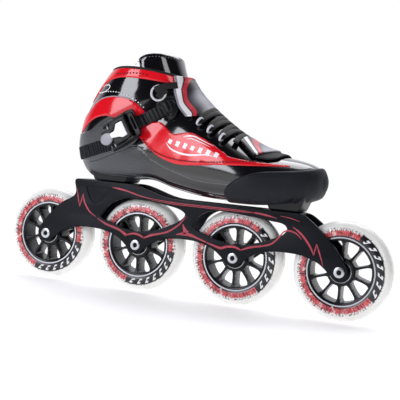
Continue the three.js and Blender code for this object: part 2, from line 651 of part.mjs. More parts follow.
const liner = layer(LINER_OUTER, LINER_INNER)
  .intersect(through(belowCollar(1.5)))
  .subtract(through(tongueArea(0.8)));
addPiece('liner', liner, padding);

// The insole's top, over a footbed line that follows the inside of the lining.
const insoleTop = () => smooth([[-6, 9], [35, 8.5], [63, 10], [94, 11.5], [123, 7.5], [153, 3.5],
  [181, 2], [230, 2.5], [280, 7]].map(([x, z]) => [x, z + INSOLE_THICKNESS]), 14);
addPiece('insole', lastSolid(FOOT_INNER)
  .intersect(through([...insoleTop(), [280, -30], [-6, -30]])), padding);

// ---------------------------------------------------------------- panels, bumper and cuff

const PANEL_INNER = GAP;
const PANEL_OUTER = PANEL_INNER + PANEL_WALL;
const panelSkin = layer(PANEL_OUTER, PANEL_INNER);
addPiece('quarter_panel_lateral', panelSkin.intersect(through(quarterArea(), -FAR, 0)), redPatent);
addPiece('quarter_panel_medial', panelSkin.intersect(through(quarterArea(), 0, FAR)), redPatent);
addPiece('heel_panel', panelSkin.intersect(through(heelPanelArea())), redPatent);
addPiece('collar_band', panelSkin.intersect(through(collarArea())), redPatent);

// The bumper leaves the middle of the sole open and keeps clear of the front block.
const blockHalf = MOUNT_BLOCK_WIDTH / 2 + GAP;
const blockNose = FRONT_MOUNT_X + FRONT_BLOCK_REACH + FRONT_BLOCK_FLARE + 1;
const soleWindow = box(lastX(150), lastX(250), -26, 26, FRONT_DECK_Z - 5, BLOCK_TOP + 2);
const blockWindow = box(lastX(150), blockNose, -blockHalf, blockHalf, FRONT_DECK_Z - 5, BLOCK_TOP + GAP);
addPiece('toe_bumper', layer(GAP + BUMPER_WALL, GAP).intersect(through(bumperArea()))
  .subtract(soleWindow)
  .subtract(blockWindow), rubber);

const CUFF_INNER = GAP + 0.2;
const CUFF_OUTER = CUFF_INNER + CUFF_WALL;
addPiece('heel_cuff', layer(CUFF_OUTER, CUFF_INNER).intersect(through(cuffArea())), blackPlastic);

// ---------------------------------------------------------------- straps

const BAND_INNER = PANEL_OUTER + GAP;
const BAND_OUTER = BAND_INNER + BAND_WALL;
const SHIN_INNER = BAND_OUTER + GAP;
const LATERAL_BAND_END = 128;
const bandSkin = layer(BAND_OUTER, BAND_INNER);
const cuffClearance = through([[-20, -20], [320, -20], [320, 20], [97, 20], [97, 50], [84, 69], [40, 80],
  [-20, 80]]);
addPiece('instep_strap', bandSkin.intersect(through(instepBand()))
  .subtract(through([[-20, -20], [LATERAL_BAND_END, -20], [LATERAL_BAND_END, 200], [-20, 200]], -FAR, -12))
  .subtract(cuffClearance), padding);
addPiece('strap_anchor', layer(CUFF_OUTER + GAP + ANCHOR_WALL, CUFF_OUTER + GAP)
  .intersect(through(anchorArea(), 0, FAR)), blackPlastic);
const PAD_INNER = GAP + 0.1;
const PAD_OUTER = PAD_INNER + PAD_WALL;
addPiece('strap_pad', layer(PAD_OUTER, PAD_INNER)
  .intersect(through(padArea(), -FAR, 0)), blackPlastic);
addPiece('shin_strap', layer(SHIN_INNER + STRAP_WALL, SHIN_INNER)
  .intersect(through(shinStrapArea())), silverCloth);
addPiece('toe_strap_base', bandSkin
  .intersect(through(toeBaseArea())), padding);
addPiece('toe_strap', layer(SHIN_INNER + STRAP_WALL, SHIN_INNER)
  .intersect(through(toeStrapArea())), silverCloth);

// ---------------------------------------------------------------- lace

// The lace runs back and forth over the tongue, row after row, and turns through a wire loop on
// each edge of the throat.
const LACE_START = 0.295;           // place of the first row along the last, nearest the toe
const LACE_PITCH = 0.017;
const LACE_HALF_TURN = 0.082;       // share of the girth from the crest to the loops
const LACE_BULGE = 0.014;           // how far the lace swings past them
const LACE_LOW = LACE_RADIUS + 0.9;
const LACE_HIGH = LACE_RADIUS + 2.9;
const LOOP_RADIUS = LACE_RADIUS + 4 * GAP + LACE_LOOP_WIRE;

function sweep(points, radius, sides, steps) {
  const section = new THREE.Shape();
  section.absarc(0, 0, radius, 0, 2 * Math.PI, false);
  return solid(new THREE.ExtrudeGeometry(section, {
    steps, extrudePath: new THREE.CatmullRomCurve3(points), bevelEnabled: false, curveSegments: sides,
  }));
}

const lacePoints = [];
const loopPlaces = [];
for (let row = 0; row < LACE_ROWS; row += 1) {
  const t = LACE_START + row * LACE_PITCH;
  const side = row % 2 ? -1 : 1;
  const across = [-1, -0.5, 0, 0.5, 1].map((share) => ({
    turn: 0.5 + side * share * LACE_HALF_TURN,
    offset: Math.abs(share) > 0.6 ? LACE_HIGH : LACE_LOW,
  }));
  for (const { turn, offset } of across) lacePoints.push(skinPoint(t, turn, offset));
  if (row < LACE_ROWS - 1) {
    const edge = LACE_HALF_TURN + LACE_BULGE;
    const middle = t + LACE_PITCH / 2;
    lacePoints.push(skinPoint(middle, 0.5 + side * edge, LACE_HIGH));
    loopPlaces.push({
      t: middle, turn: 0.5 + side * edge, side: side > 0 ? 'medial' : 'lateral',
    });
  }
}
addPiece('lace', sweep(lacePoints, LACE_RADIUS, 4, 110), padding);

loopPlaces.forEach(({ t, turn, side }, index) => {
  const centre = skinPoint(t, turn, LACE_HIGH);
  const along = skinPoint(t + 0.004, turn, LACE_HIGH).sub(skinPoint(t - 0.004, turn, LACE_HIGH)).normalize();
  const ring = new THREE.TorusGeometry(LOOP_RADIUS, LACE_LOOP_WIRE, 5, 9);
  ring.applyQuaternion(new THREE.Quaternion().setFromUnitVectors(new THREE.Vector3(0, 0, 1), along));
  ring.translate(...centre.toArray());
  addPiece(`lace_loop_${side}_${Math.floor(index / 2) + 1}`, solid(ring), brightSteel);
});

// ---------------------------------------------------------------- buckle

// The ratchet buckle lies flat on the outer side of the cuff. In its own frame u runs along the
// strap to the instep, v across it and h out from the foot.
const [BUCKLE_X, BUCKLE_Z] = onLast([[67, 53]])[0];

function probeAt(offset) {
  const material = new THREE.MeshBasicMaterial({ side: THREE.DoubleSide });
  return new THREE.Mesh(toGeometry(lastSolid(offset)), material);
}
const cuffProbe = probeAt(CUFF_OUTER);
const panelProbe = probeAt(PANEL_OUTER);
const padProbe = probeAt(PAD_OUTER);

function lateralY(mesh, x, z) {
  const ray = new THREE.Raycaster(new THREE.Vector3(x, -FAR, z), new THREE.Vector3(0, 1, 0));
  const hits = ray.intersectObject(mesh);
  return hits.length ? hits[0].point.y : 0;
}

function sidePlace(u, v) {
  return [
    BUCKLE_X + u * Math.cos(BUCKLE_ANGLE) - v * Math.sin(BUCKLE_ANGLE),
    BUCKLE_Z + u * Math.sin(BUCKLE_ANGLE) + v * Math.cos(BUCKLE_ANGLE),
  ];
}

const BASE_REAR = -17;
const BASE_FRONT = 17;
const BASE_PLATE = 1.6;
const CHEEK_HEIGHT = 8.5;
const HALF_WIDTH = BUCKLE_WIDTH / 2;
const footprint = [-1, -0.6, -0.2, 0.2, 0.6, 1].flatMap((along) => [-1, -0.5, 0, 0.5, 1].map(
  (across) => [BASE_FRONT * along, HALF_WIDTH * across]));
const cuffY = Math.min(...footprint.map(([u, v]) => lateralY(cuffProbe, ...sidePlace(u, v))));
const PLATE_Y = cuffY - GAP - BASE_PLATE;
const PIN_U = 10;
const PIN_H = 5.6;
const LEVER_UNDER = 6.4;
const PAWL_U = -11;
const PAWL_H = 3.6;

function placeBuckle(manifold) {
  const matrix = new THREE.Matrix4().makeBasis(
    new THREE.Vector3(Math.cos(BUCKLE_ANGLE), 0, Math.sin(BUCKLE_ANGLE)),
    new THREE.Vector3(-Math.sin(BUCKLE_ANGLE), 0, Math.cos(BUCKLE_ANGLE)),
    new THREE.Vector3(0, -1, 0));
  matrix.setPosition(BUCKLE_X, PLATE_Y, BUCKLE_Z);
  return manifold.transform(matrix.toArray());
}

// A profile of [u, h] points, drawn in the plane across the pins, made solid from v0 to v1.
function acrossPins(profile, v0, v1) {
  const shape = new THREE.Shape(profile.map(([u, h]) => new THREE.Vector2(u, h)));
  const geometry = new THREE.ExtrudeGeometry(shape, { depth: v1 - v0, bevelEnabled: false });
  geometry.rotateX(Math.PI / 2);
  geometry.translate(0, v1, 0);
  return solid(geometry);
}

function pinAlongV(radius, u, h, reach, segments = 12) {
  return rod(radius, [u, -reach, h], [u, reach, h], segments);
}

const cheek = [[BASE_REAR, -0.5], [BASE_FRONT, -0.5], [BASE_FRONT, 5], [13, CHEEK_HEIGHT],
  [6, CHEEK_HEIGHT], [0, 6.2], [BASE_REAR + 3, 5.6], [BASE_REAR, 3.5]];
let buckleBase = acrossPins([[BASE_REAR, -BASE_PLATE], [BASE_FRONT, -BASE_PLATE], [BASE_FRONT, 0],
  [BASE_REAR, 0]], -HALF_WIDTH, HALF_WIDTH);
for (const side of [-1, 1]) {
  const edge = side * HALF_WIDTH;
  const inner = edge - side * BUCKLE_WALL;
  buckleBase = buckleBase.add(acrossPins(cheek, Math.min(edge, inner), Math.max(edge, inner)));
}
buckleBase = buckleBase
  .subtract(pinAlongV(BUCKLE_PIN_RADIUS + GAP, PIN_U, PIN_H, HALF_WIDTH + 1))
  .subtract(pinAlongV(PAWL_PIN_RADIUS + GAP, PAWL_U, PAWL_H, HALF_WIDTH + 1));
addPiece('buckle_base', placeBuckle(buckleBase), blackPlastic);
addPiece('buckle_pin', placeBuckle(pinAlongV(BUCKLE_PIN_RADIUS, PIN_U, PIN_H, HALF_WIDTH)), brightSteel);
const pawlPin = pinAlongV(PAWL_PIN_RADIUS, PAWL_U, PAWL_H, HALF_WIDTH);
addPiece('buckle_pawl_pin', placeBuckle(pawlPin), brightSteel);

const LEVER_HALF = HALF_WIDTH - BUCKLE_WALL - GAP;
const LEVER_TIP = PIN_U + 3.3 - LEVER_LENGTH;
const LEVER_TOP = LEVER_UNDER + LEVER_THICKNESS;
const leverBody = acrossPins([[PIN_U - 2.5, PIN_H - 2.4], [PIN_U + 1.5, PIN_H - 3],
  [PIN_U + 3.3, PIN_H - 0.5], [PIN_U + 2.8, LEVER_TOP - 1], [PIN_U, LEVER_TOP], [-9, LEVER_TOP],
  [-9, LEVER_UNDER], [PIN_U - 3.5, LEVER_UNDER]], -LEVER_HALF, LEVER_HALF);
const leverTab = acrossPins([[-10, LEVER_UNDER], [-8, LEVER_UNDER], [-8, LEVER_TOP], [-14, LEVER_TOP],
  [LEVER_TIP, LEVER_TOP - 1], [LEVER_TIP, LEVER_UNDER + 0.4]], -7, 7);
const lever = leverBody.add(leverTab).subtract(
  pinAlongV(BUCKLE_PIN_RADIUS + GAP, PIN_U, PIN_H, HALF_WIDTH + 1));
addPiece('buckle_lever', placeBuckle(lever), silverPlastic);

const pawl = acrossPins([[PAWL_U + 4.5, 2.3], [PAWL_U + 4.5, 3.2], [PAWL_U + 2, 5.4], [PAWL_U - 2, 5.4],
  [PAWL_U - 9, 5], [PAWL_U - 9, 3.6], [PAWL_U - 2, 1.8], [PAWL_U + 2, 1.8]].reverse(), -8.5, 8.5)
  .subtract(pinAlongV(PAWL_PIN_RADIUS + GAP, PAWL_U, PAWL_H, HALF_WIDTH + 1));
addPiece('buckle_pawl', placeBuckle(pawl), blackPlastic);

// The toothed strap: out from under the lever, down to the foot and up onto the instep pad.
function heightOver(mesh, u) {
  return Math.max(...[-1, -0.5, 0, 0.5, 1].map((share) => (
    PLATE_Y - lateralY(mesh, ...sidePlace(u, share * LADDER_WIDTH / 2))))) + GAP;
}
const padStart = Math.min(...onLast(padArea()).map(([x, z]) => (
  (x - BUCKLE_X) * Math.cos(BUCKLE_ANGLE) + (z - BUCKLE_Z) * Math.sin(BUCKLE_ANGLE))));
const ladderInner = [[-4, GAP], [BASE_FRONT - 2, GAP], [BASE_FRONT + 2, GAP]];
const LADDER_SPANS = 6;
for (let span = 1; span <= LADDER_SPANS; span += 1) {
  const u = BASE_FRONT + 2 + (padStart - BASE_FRONT - 4.5) * span / LADDER_SPANS;
  ladderInner.push([u, heightOver(panelProbe, u)]);
}
for (const u of [padStart - 0.8, padStart + 3, padStart + LADDER_ONTO_PAD]) {
  ladderInner.push([u, heightOver(padProbe, u)]);
}
const ladderOuter = ladderInner.map(([u, h]) => [u, h + LADDER_THICKNESS]).reverse();
addPiece('ladder_strap', placeBuckle(
  acrossPins([...ladderInner, ...ladderOuter], -LADDER_WIDTH / 2, LADDER_WIDTH / 2)), blackPlastic);

export default skate;
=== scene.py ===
"""Inline speed skate, right foot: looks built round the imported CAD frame.

Everything is in metres. +X runs to the toe, +Z is up and -Y is the outer side of the foot.
"""

import math

import bmesh
import bpy
import numpy as np
from mathutils import Matrix, Vector
from mathutils.bvhtree import BVHTree


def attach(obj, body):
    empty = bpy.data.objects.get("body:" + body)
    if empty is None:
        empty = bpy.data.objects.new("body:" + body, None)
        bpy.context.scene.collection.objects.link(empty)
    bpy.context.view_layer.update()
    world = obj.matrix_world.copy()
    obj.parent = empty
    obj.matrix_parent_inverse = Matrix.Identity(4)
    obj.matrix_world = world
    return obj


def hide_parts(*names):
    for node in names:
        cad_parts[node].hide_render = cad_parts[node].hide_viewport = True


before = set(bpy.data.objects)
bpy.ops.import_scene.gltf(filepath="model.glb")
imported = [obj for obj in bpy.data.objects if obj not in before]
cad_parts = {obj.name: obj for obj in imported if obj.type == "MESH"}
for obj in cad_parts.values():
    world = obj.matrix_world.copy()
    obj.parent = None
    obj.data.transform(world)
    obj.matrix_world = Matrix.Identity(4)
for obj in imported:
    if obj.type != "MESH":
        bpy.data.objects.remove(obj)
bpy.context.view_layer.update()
MM = 0.001


# ---------------------------------------------------------------- camera
# A long-lens view of the outer side, from a little ahead of the skate and just above it,
# leaning a few degrees so that the row of wheels runs downhill to the toe.

CAMERA_TURN, CAMERA_RISE, CAMERA_LEAN = math.radians(21.14), math.radians(2.72), math.radians(5.33)
CAMERA_AIM = Vector((0.1575, 0.0, 0.060))
CAMERA_BACK, CAMERA_ACROSS, CAMERA_UP = 0.92464, 0.01748, 0.04263
FOCAL_LENGTH = 78.4


def place_camera():
    turn, rise, roll = CAMERA_TURN, CAMERA_RISE, CAMERA_LEAN
    back = Vector((math.sin(turn) * math.cos(rise), -math.cos(turn) * math.cos(rise),
                   math.sin(rise)))
    level_right = Vector((math.cos(turn), math.sin(turn), 0.0))
    level_up = back.cross(level_right)
    right = math.cos(roll) * level_right + math.sin(roll) * level_up
    up = back.cross(right)
    data = bpy.data.cameras.new("camera")
    data.sensor_width = 36.0
    data.lens = FOCAL_LENGTH
    data.clip_end = 20.0
    camera = bpy.data.objects.new("camera", data)
    bpy.context.scene.collection.objects.link(camera)
    camera.matrix_world = Matrix((
        (right.x, up.x, back.x, 0.0),
        (right.y, up.y, back.y, 0.0),
        (right.z, up.z, back.z, 0.0),
        (0.0, 0.0, 0.0, 1.0)))
    camera.location = (CAMERA_AIM + CAMERA_BACK * back + CAMERA_ACROSS * right
                       + CAMERA_UP * up)
    bpy.context.scene.camera = camera


place_camera()


# ---------------------------------------------------------------- studio
# A white cove. Everything behind the skate is bright, the camera's side is dim so that patent
# leather stays black, and tall softboxes put soft-edged windows of light on the gloss.

def srgb(code):
    """Linear RGBA of a hex sRGB colour."""
    parts = [int(code[place:place + 2], 16) / 255 for place in (1, 3, 5)]
    return tuple(p / 12.92 if p <= 0.04045 else ((p + 0.055) / 1.055) ** 2.4
                 for p in parts) + (1.0,)


def add_node(tree, kind, settings=None, inputs=None):
    """Adds a node, sets its own settings, and sets or links each of its inputs."""
    node = tree.nodes.new(kind)
    for key, value in (settings or {}).items():
        setattr(node, key, value)
    for key, value in (inputs or {}).items():
        if isinstance(value, bpy.types.NodeSocket):
            tree.links.new(value, node.inputs[key])
        else:
            node.inputs[key].default_value = value
    return node


def studio_world():
    world = bpy.data.worlds.new("white_cove")
    bpy.context.scene.world = world
    world.use_nodes = True
    tree = world.node_tree
    tree.nodes.clear()
    way = add_node(tree, "ShaderNodeTexCoord").outputs["Generated"]
    behind = add_node(tree, "ShaderNodeVectorMath", {"operation": "DOT_PRODUCT"},
                      {0: way, 1: (-0.33, 0.86, 0.38)})
    level = add_node(tree, "ShaderNodeMapRange", {"interpolation_type": "SMOOTHSTEP"},
                     {"Value": behind.outputs["Value"], "From Min": 0.20, "From Max": 0.72,
                      "To Min": 0.04, "To Max": 1.05})
    lit = add_node(tree, "ShaderNodeBackground", None,
                   {"Color": srgb("#f7f8ff"), "Strength": level.outputs[0]})
    plain = add_node(tree, "ShaderNodeBackground", None, {"Color": (1, 1, 1, 1), "Strength": 1.02})
    ray = add_node(tree, "ShaderNodeLightPath")
    both = add_node(tree, "ShaderNodeMixShader", None,
                    {0: ray.outputs["Is Camera Ray"], 1: lit.outputs[0], 2: plain.outputs[0]})
    add_node(tree, "ShaderNodeOutputWorld", None, {"Surface": both.outputs[0]})


def softbox(name, place, aim, size, power, tint):
    data = bpy.data.lights.new(name, "AREA")
    data.shape = "RECTANGLE"
    data.size, data.size_y = size
    data.energy = power
    data.color = srgb(tint)[:3]
    light = bpy.data.objects.new(name, data)
    bpy.context.scene.collection.objects.link(light)
    light.location = place
    light.rotation_euler = (Vector(aim) - Vector(place)).to_track_quat("-Z", "Y").to_euler()


studio_world()
softbox("tall_softbox", (-0.50, -1.25, 0.66), (0.10, 0.0, 0.66), (0.60, 1.02), 12.0, "#f6f7ff")
softbox("toe_softbox", (1.25, -0.75, 0.75), (0.22, 0.0, 0.12), (0.4, 0.7), 3.0, "#ffffff")
softbox("overhead", (0.05, 0.70, 1.35), (0.17, 0.0, 0.0), (1.5, 1.0), 14.0, "#ffffff")
bpy.context.scene.view_settings.view_transform = "Standard"


def shown(name, mesh, smooth_angle=35.0):
    """A finished mesh as an object at the origin, shaded smooth except over its sharp edges."""
    mesh.name = name
    for polygon in mesh.polygons:
        polygon.use_smooth = True
    mesh.set_sharp_from_angle(angle=math.radians(smooth_angle))
    piece = bpy.data.objects.new(name, mesh)
    bpy.context.scene.collection.objects.link(piece)
    return piece


def mesh_of(bm, outward=True):
    """Closes a bmesh into a mesh, with its faces turned outwards."""
    if outward:
        bmesh.ops.recalc_face_normals(bm, faces=bm.faces)
    mesh = bpy.data.meshes.new("piece")
    bm.to_mesh(mesh)
    bm.free()
    return mesh


def new_material(name):
    material = bpy.data.materials.new(name)
    material.use_nodes = True
    tree = material.node_tree
    return material, tree, tree.nodes["Principled BSDF"]


def studio_floor():
    bm = bmesh.new()
    bmesh.ops.create_grid(bm, x_segments=2, y_segments=2, size=6.0)
    floor = shown("floor", mesh_of(bm))
    material, tree, shader = new_material("matt_white_paper")
    shader.inputs["Base Color"].default_value = srgb("#dedee2")
    shader.inputs["Roughness"].default_value = 0.6
    shader.inputs["Specular IOR Level"].default_value = 0.2
    coords = add_node(tree, "ShaderNodeTexCoord").outputs["Object"]
    centred = add_node(tree, "ShaderNodeVectorMath", {"operation": "SUBTRACT"},
                       {0: coords, 1: (0.15, -0.1, 0)})
    away = add_node(tree, "ShaderNodeVectorMath", {"operation": "LENGTH"}, {0: centred.outputs[0]})
    far = add_node(tree, "ShaderNodeMapRange", {"interpolation_type": "SMOOTHSTEP"},
                   {"Value": away.outputs["Value"], "From Min": 0.22, "From Max": 0.60}).outputs[0]
    plain = add_node(tree, "ShaderNodeEmission", None, {"Color": (1, 1, 1, 1), "Strength": 1.02})
    both = add_node(tree, "ShaderNodeMixShader", None,
                    {0: far, 1: shader.outputs[0], 2: plain.outputs[0]})
    shader.inputs["Emission Color"].default_value = (1.0, 1.0, 1.0, 1.0)
    shader.inputs["Emission Strength"].default_value = 0.52
    tree.links.new(both.outputs[0], tree.nodes["Material Output"].inputs["Surface"])
    floor.data.materials.append(material)


studio_floor()


# ---------------------------------------------------------------- tyres
# A ring of cast, milky polyurethane, bonded to the hub. Its sides carry a printed band next to
# the hub: ragged red artwork with black scratches, and a black arc with white bars.

WHEEL_PITCH = 110 * MM
AXLE_HEIGHT = 50 * MM
WHEEL_COUNT = 4


def turned(profile, steps, centre, closed=True):
    """A ring spun about an axis along Y from (radius, y) pairs in millimetres."""
    bm = bmesh.new()
    verts = [bm.verts.new((radius * MM, y * MM, 0.0)) for radius, y in profile]
    pairs = list(zip(verts, verts[1:]))
    if closed:
        pairs.append((verts[-1], verts[0]))
    edges = [bm.edges.new(pair) for pair in pairs]
    bmesh.ops.spin(bm, geom=verts + edges, cent=(0, 0, 0), axis=(0, 1, 0), angle=2 * math.pi,
                   steps=steps, use_merge=True)
    bmesh.ops.remove_doubles(bm, verts=bm.verts, dist=1e-6)
    bmesh.ops.translate(bm, verts=bm.verts, vec=centre)
    return bm


def tyre_profile():
    side = [(34.7, 11.3), (35.6, 11.75), (36.8, 11.95)]
    for step in range(15):
        angle = math.radians(90 * (step + 0.5) / 15)
        side.append((37.5 + 12.45 * math.sin(angle) ** 1.06, 12.0 * math.cos(angle) ** 0.80))
    return [(r, -y) for r, y in side] + [(49.98, 0.0)] + [(r, y) for r, y in reversed(side)]


def cast_urethane(name, centre, arc_centre):
    """Milky polyurethane, cast and polished, printed round the hub. arc_centre is in degrees."""
    material, tree, shader = new_material(name)
    coords = add_node(tree, "ShaderNodeTexCoord").outputs["Object"]
    local = add_node(tree, "ShaderNodeMapping", None, {"Vector": coords, "Location": -centre})
    split = add_node(tree, "ShaderNodeSeparateXYZ", None, {0: local.outputs[0]})
    x, y, z = split.outputs

    radius = add_node(tree, "ShaderNodeMath", {"operation": "MULTIPLY"}, {
        0: add_node(tree, "ShaderNodeMath", {"operation": "SQRT"}, {
            0: add_node(tree, "ShaderNodeMath", {"operation": "ADD"}, {
                0: add_node(tree, "ShaderNodeMath", {"operation": "MULTIPLY"}, {
                    0: x, 1: x}).outputs[0],
                1: add_node(tree, "ShaderNodeMath", {"operation": "MULTIPLY"}, {
                    0: z, 1: z}).outputs[0]}).outputs[0]}).outputs[0],
        1: 1000.0}).outputs[0]
    angle = add_node(tree, "ShaderNodeMath", {"operation": "MULTIPLY"}, {
        0: add_node(tree, "ShaderNodeMath", {"operation": "ARCTAN2"}, {0: z, 1: x}).outputs[0],
        1: 180 / math.pi}).outputs[0]
    # The print's own angle, from -180 to 180 with 0 at the middle of the black arc.
    turned_angle = add_node(tree, "ShaderNodeMath", {"operation": "WRAP"}, {
        0: add_node(tree, "ShaderNodeMath", {"operation": "SUBTRACT"}, {
            0: angle, 1: arc_centre}).outputs[0],
        1: 180.0, 2: -180.0}).outputs[0]
    polar = add_node(tree, "ShaderNodeCombineXYZ", None, {
        0: add_node(tree, "ShaderNodeMath", {"operation": "MULTIPLY"}, {
            0: turned_angle, 1: 0.65}).outputs[0],
        1: radius, 2: 0.0}).outputs[0]

    patchy = add_node(tree, "ShaderNodeTexNoise", {"noise_dimensions": "2D"},
                      {"Vector": polar, "Scale": 0.16, "Detail": 3.0}).outputs["Fac"]
    ragged = add_node(tree, "ShaderNodeTexNoise", {"noise_dimensions": "2D"},
                      {"Vector": add_node(tree, "ShaderNodeVectorMath", {"operation": "MULTIPLY"},
                                          {0: polar, 1: (1.0, 0.18, 1.0)}).outputs[0],
                       "Scale": 0.55, "Detail": 4.0, "Roughness": 0.7}).outputs["Fac"]
    red_edge = add_node(tree, "ShaderNodeMath", {"operation": "ADD"}, {
        0: 36.4,
        1: add_node(tree, "ShaderNodeMath", {"operation": "MULTIPLY"}, {
            0: ragged, 1: 10.0}).outputs[0]}).outputs[0]
    red = add_node(tree, "ShaderNodeMapRange", None, {
        "Value": add_node(tree, "ShaderNodeMath", {"operation": "SUBTRACT"}, {
            0: red_edge, 1: radius}).outputs[0],
        "From Min": -0.3, "From Max": 0.6}).outputs[0]
    red = add_node(tree, "ShaderNodeMath", {"operation": "MULTIPLY"}, {
        0: red,
        1: add_node(tree, "ShaderNodeMapRange", None, {
            "Value": patchy, "From Min": 0.3, "From Max": 0.44,
            "To Min": 0.45, "To Max": 1.0}).outputs[0]}).outputs[0]
    rim_line = add_node(tree, "ShaderNodeMath", {"operation": "MULTIPLY"}, {
        0: add_node(tree, "ShaderNodeMapRange", None, {
            "Value": radius, "From Min": 36.2, "From Max": 35.7}).outputs[0],
        1: add_node(tree, "ShaderNodeMath", {"operation": "GREATER_THAN"}, {
            0: patchy, 1: 0.3}).outputs[0]}).outputs[0]
    scuffed = add_node(tree, "ShaderNodeTexNoise", {"noise_dimensions": "2D"},
                       {"Vector": polar, "Scale": 1.3, "Detail": 3.0}).outputs["Fac"]
    red = add_node(tree, "ShaderNodeMath", {"operation": "MULTIPLY"}, {
        0: red,
        1: add_node(tree, "ShaderNodeMapRange", None, {
            "Value": scuffed, "From Min": 0.32, "From Max": 0.44,
            "To Min": 0.7, "To Max": 1.0}).outputs[0]}).outputs[0]
    scratch_field = add_node(tree, "ShaderNodeTexNoise", {"noise_dimensions": "2D"},
                             {"Vector": add_node(tree, "ShaderNodeVectorMath",
                                                 {"operation": "MULTIPLY"},
                                                 {0: polar, 1: (1.0, 0.22, 1.0)}).outputs[0],
                              "Scale": 0.62, "Detail": 2.0, "Distortion": 1.2}).outputs["Fac"]
    scratch = add_node(tree, "ShaderNodeMath", {"operation": "SUBTRACT"}, {
        0: 1.0,
        1: add_node(tree, "ShaderNodeMapRange", None, {
            "Value": add_node(tree, "ShaderNodeMath", {"operation": "ABSOLUTE"}, {
                0: add_node(tree, "ShaderNodeMath", {"operation": "SUBTRACT"}, {
                    0: scratch_field, 1: 0.5}).outputs[0]}).outputs[0],
            "From Min": 0.03, "From Max": 0.048}).outputs[0]}).outputs[0]
    scratch = add_node(tree, "ShaderNodeMath", {"operation": "MULTIPLY"}, {
        0: scratch,
        1: add_node(tree, "ShaderNodeMath", {"operation": "LESS_THAN"}, {
            0: radius, 1: 43.8}).outputs[0]}).outputs[0]
    scratch = add_node(tree, "ShaderNodeMath", {"operation": "MULTIPLY"}, {
        0: scratch,
        1: add_node(tree, "ShaderNodeMath", {"operation": "GREATER_THAN"}, {
            0: patchy, 1: 0.34}).outputs[0]}).outputs[0]

    side = add_node(tree, "ShaderNodeMath", {"operation": "ABSOLUTE"}, {0: turned_angle}).outputs[0]
    arc = add_node(tree, "ShaderNodeMath", {"operation": "MULTIPLY"}, {
        0: add_node(tree, "ShaderNodeMapRange", None, {
            "Value": side, "From Min": 50.5, "From Max": 50.0}).outputs[0],
        1: add_node(tree, "ShaderNodeMapRange", None, {
            "Value": radius, "From Min": 43.1, "From Max": 42.9}).outputs[0]}).outputs[0]
    slant = add_node(tree, "ShaderNodeMath", {"operation": "ADD"}, {
        0: add_node(tree, "ShaderNodeMath", {"operation": "MULTIPLY"}, {
            0: turned_angle, 1: 0.075}).outputs[0],
        1: add_node(tree, "ShaderNodeMath", {"operation": "MULTIPLY"}, {
            0: radius, 1: 0.085}).outputs[0]}).outputs[0]
    bars = add_node(tree, "ShaderNodeMath", {"operation": "FRACT"}, {0: slant}).outputs[0]
    bar = add_node(tree, "ShaderNodeMath", {"operation": "MULTIPLY"}, {
        0: add_node(tree, "ShaderNodeMapRange", None, {
            "Value": bars, "From Min": 0.2, "From Max": 0.24}).outputs[0],
        1: add_node(tree, "ShaderNodeMapRange", None, {
            "Value": bars, "From Min": 0.62, "From Max": 0.58}).outputs[0]}).outputs[0]
    notch = add_node(tree, "ShaderNodeMath", {"operation": "MULTIPLY"}, {
        0: add_node(tree, "ShaderNodeMath", {"operation": "GREATER_THAN"}, {
            0: bars, 1: 0.37}).outputs[0],
        1: add_node(tree, "ShaderNodeMapRange", None, {
            "Value": radius, "From Min": 38.0, "From Max": 38.3}).outputs[0]}).outputs[0]
    bar = add_node(tree, "ShaderNodeMath", {"operation": "SUBTRACT", "use_clamp": True}, {
        0: bar,
        1: add_node(tree, "ShaderNodeMath", {"operation": "MULTIPLY"}, {
            0: notch,
            1: add_node(tree, "ShaderNodeMapRange", None, {
                "Value": radius, "From Min": 40.2,
                "From Max": 39.9}).outputs[0]}).outputs[0]}).outputs[0]
    bar = add_node(tree, "ShaderNodeMath", {"operation": "MULTIPLY"}, {
        0: bar,
        1: add_node(tree, "ShaderNodeMath", {"operation": "MULTIPLY"}, {
            0: add_node(tree, "ShaderNodeMapRange", None, {
                "Value": radius, "From Min": 36.4, "From Max": 36.7}).outputs[0],
            1: add_node(tree, "ShaderNodeMapRange", None, {
                "Value": radius, "From Min": 41.9,
                "From Max": 41.6}).outputs[0]}).outputs[0]}).outputs[0]
    bar = add_node(tree, "ShaderNodeMath", {"operation": "MULTIPLY"}, {
        0: bar,
        1: add_node(tree, "ShaderNodeMapRange", None, {
            "Value": side, "From Min": 45.0, "From Max": 44.5}).outputs[0]}).outputs[0]

